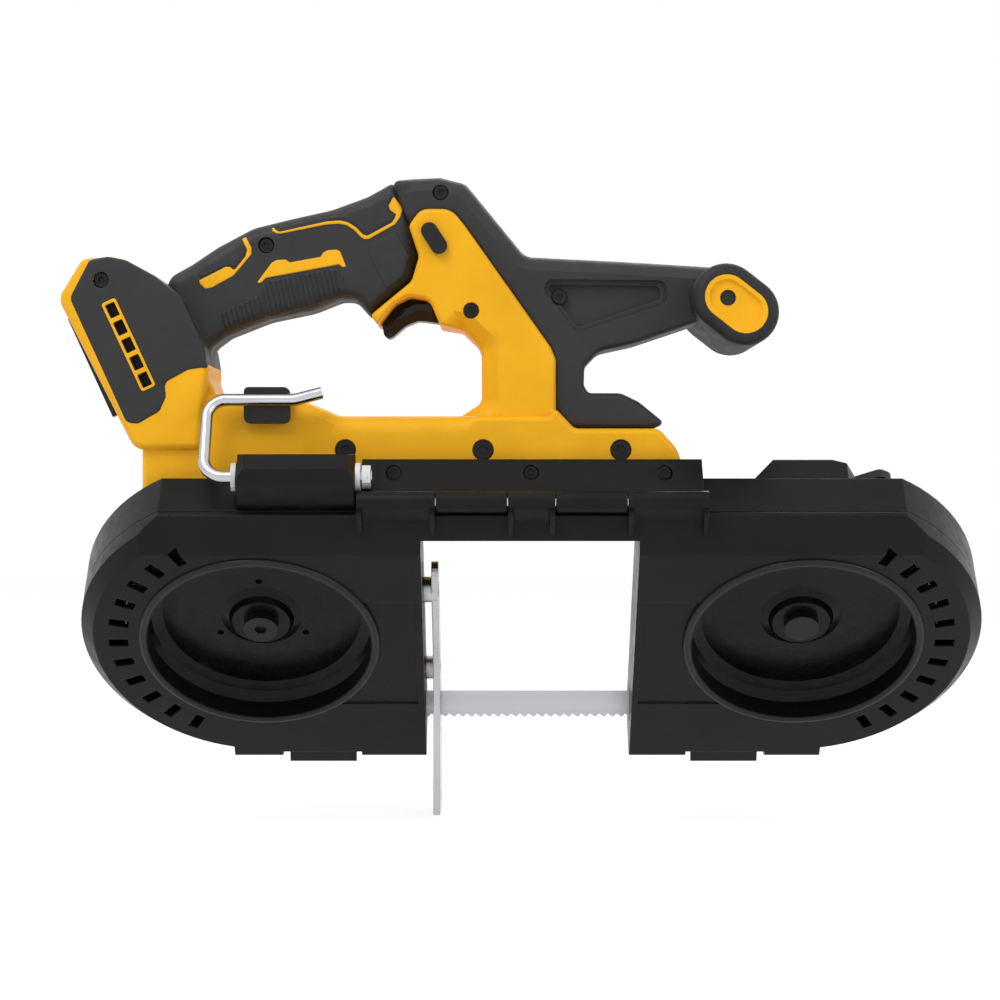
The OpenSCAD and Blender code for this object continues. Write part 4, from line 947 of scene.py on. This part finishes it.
RIBS = [(262, 945), (330, 900), (530, 812), (560, 730), (1020, 640), (1068, 690), (1075, 830), (985, 850),
        (690, 930), (560, 965), (430, 1010), (290, 1040)]


def from_pixels(pixels, r):
    """Corners [x, z, r] on the grip's face: the camera's place plus the pixels from the photograph's middle
    times the size of a pixel, with z upwards."""
    off = (PART_CORNER + np.array(pixels) / ENLARGED - PHOTO_MIDDLE) * FACE_PIXEL
    return with_radius(CAMERA_MM[[0, 2]] - [0, UP] + off * [1, -1], r)


outlines = (REAR_LINE, FRONT_LINE, BARE_PLATE, REAR_PAD, TOP_PAD, SIX_SIDED_PAD, RIBS)
print("outlines on the grip:", len(outlines))

# %% Lay the trim
YELLOW_TRIM = (yellow, "yellow_plastic")
GRAINED = (pad_grain, "grey_plastic")
patch("rear_accent_line", from_pixels(REAR_LINE, r=0.6), *YELLOW_TRIM, lift=0.45)
patch("front_accent_line", from_pixels(FRONT_LINE, r=0.5), *YELLOW_TRIM, lift=0.45, ease=0.35)
patch("bare_yellow_plate", from_pixels(BARE_PLATE, r=0.6), *YELLOW_TRIM, lift=0.5)
patch("rear_grained_pad", from_pixels(REAR_PAD, r=0.8), *GRAINED, lift=0.35)
patch("top_grained_pad", from_pixels(TOP_PAD, r=0.8), *GRAINED, lift=0.35)
patch("six_sided_pad", from_pixels(SIX_SIDED_PAD, r=1), *GRAINED, lift=0.3)
print("trim laid on both sides of the grip")

# %% [markdown]
# The ribs under the plate stop the fingers from slipping. They are one sheet too, whose height rises and
# falls along the grip.

# %% Ribs of the grip
RIB_WAY = unit(np.array([60.0, 14.0]))
RIB_PITCH, RIB_HEIGHT, RIB_STEEP, RIB_EASE = 2.3, 0.45, 1.6, 0.8


def rib_wave(p, d):
    """RIB_HEIGHT times a cosine along the grip, clipped to make its sides steep, and less near the edge."""
    wave = np.cos(2 * np.pi * (p @ RIB_WAY) / RIB_PITCH)
    return RIB_HEIGHT * np.clip(wave * RIB_STEEP, -1, 1) * np.clip(d / RIB_EASE, 0, 1)


ribs = patch("grip_ribs", from_pixels(RIBS, r=1.5), charcoal, "grey_plastic", lift=0.35, pitch=0.62,
             wave=rib_wave)
print("rib faces:", len(ribs.data.polygons))

# %% [markdown]
# ## Frame of the foot vent
# A yellow frame with five windows is set into the foot plate. It is one outline with its windows cut out,
# and a dark sheet, one thin bar on each side, lies behind them as painted shade for the dark inside of the
# housing.

# %% Vent frame and a dark sheet of painted shade
FRAME_TOP, FRAME_FOOT = 33.0, 31.4
SHADE_SHEET_NEAR, SHADE_SHEET_FAR = 25.8, 27.2

frame_box = slanted_box(VENT_START, VENT_WAY, along=(-1.4, 42.6), across=(-3.5, 3.5))
frame_loop = anticlockwise(spaced(rounded(with_radius(frame_box, r=1.2)), step=3))
front_frame = solid(frame_loop, lambda p, d: BODY_Y - FRAME_TOP + 0 * d,
                    lambda p, d: BODY_Y - FRAME_FOOT + 0 * d, offsets=[0.3], pitch=4)
vent_frame = new_piece("vent_frame", *together(front_frame, mirrored(front_frame)),
                       yellow, "saw", "yellow_plastic")
cut(vent_frame, together(*[prism(loop, BODY_Y - WINDOW_FAR, BODY_Y + WINDOW_FAR) for loop in windows]))

# A thin black sheet behind the windows is painted shade, standing in for the dark inside of the housing.
shade_sheet_box = slanted_box(VENT_START, VENT_WAY, along=(-1, 42.2), across=(-3, 3))
vent_shade_sheet = new_piece("vent_shade_sheet", *together(*both_prisms(shade_sheet_box, SHADE_SHEET_NEAR, SHADE_SHEET_FAR)),
                        deck_black, "saw", "black_plastic")
print("vent filter:", len(vent_shade_sheet.data.polygons), "faces")

# %% [markdown]
# ## Lips of the round windows
# Each window of the cover has a moulded lip. A torus would stand as high inside as outside, so the lip is
# turned from its own half-round profile about the wheel's axis. It rides on the cover, so that it swings
# open with it.

# %% Turn the lips
WHEELS_X = (-82.3, 168.0)
LIP_MIDDLE, LIP_HALF = 53.6, 2.0
LIP_BASE, LIP_HEIGHT, LIP_FOOT = 16.9, 1.9, 16.0


def turned(profile, centre, n=96):
    """Points from_deck(centre + r cos a, r sin a, t) of a closed (r, t) profile, joined by quads."""
    a = np.arange(n) * 2 * np.pi / n
    r, t = profile[:, 0, None], profile[:, 1, None]
    verts = from_deck(centre + r * np.cos(a), r * np.sin(a), t).reshape(-1, 3)
    i, j = np.meshgrid(np.arange(len(profile)), np.arange(n), indexing="ij")
    on, up = (j + 1) % n, (i + 1) % len(profile)
    return verts, [np.stack([i * n + j, i * n + on, up * n + on, up * n + j], -1).reshape(-1, 4)]


half_turn = np.linspace(0, np.pi, 11)
lip_r, lip_t = LIP_MIDDLE + LIP_HALF * np.cos(half_turn), LIP_BASE + LIP_HEIGHT * np.sin(half_turn)
lip_foot = [[LIP_MIDDLE - LIP_HALF, LIP_FOOT], [LIP_MIDDLE + LIP_HALF, LIP_FOOT]]
lip = np.vstack([np.column_stack([lip_r, lip_t]), lip_foot])
lips = new_piece("window_lips", *together(*[turned(lip, x) for x in WHEELS_X]),
                 trim_black, "cover", "black_plastic")
print("window lips:", len(lips.data.polygons), "faces")
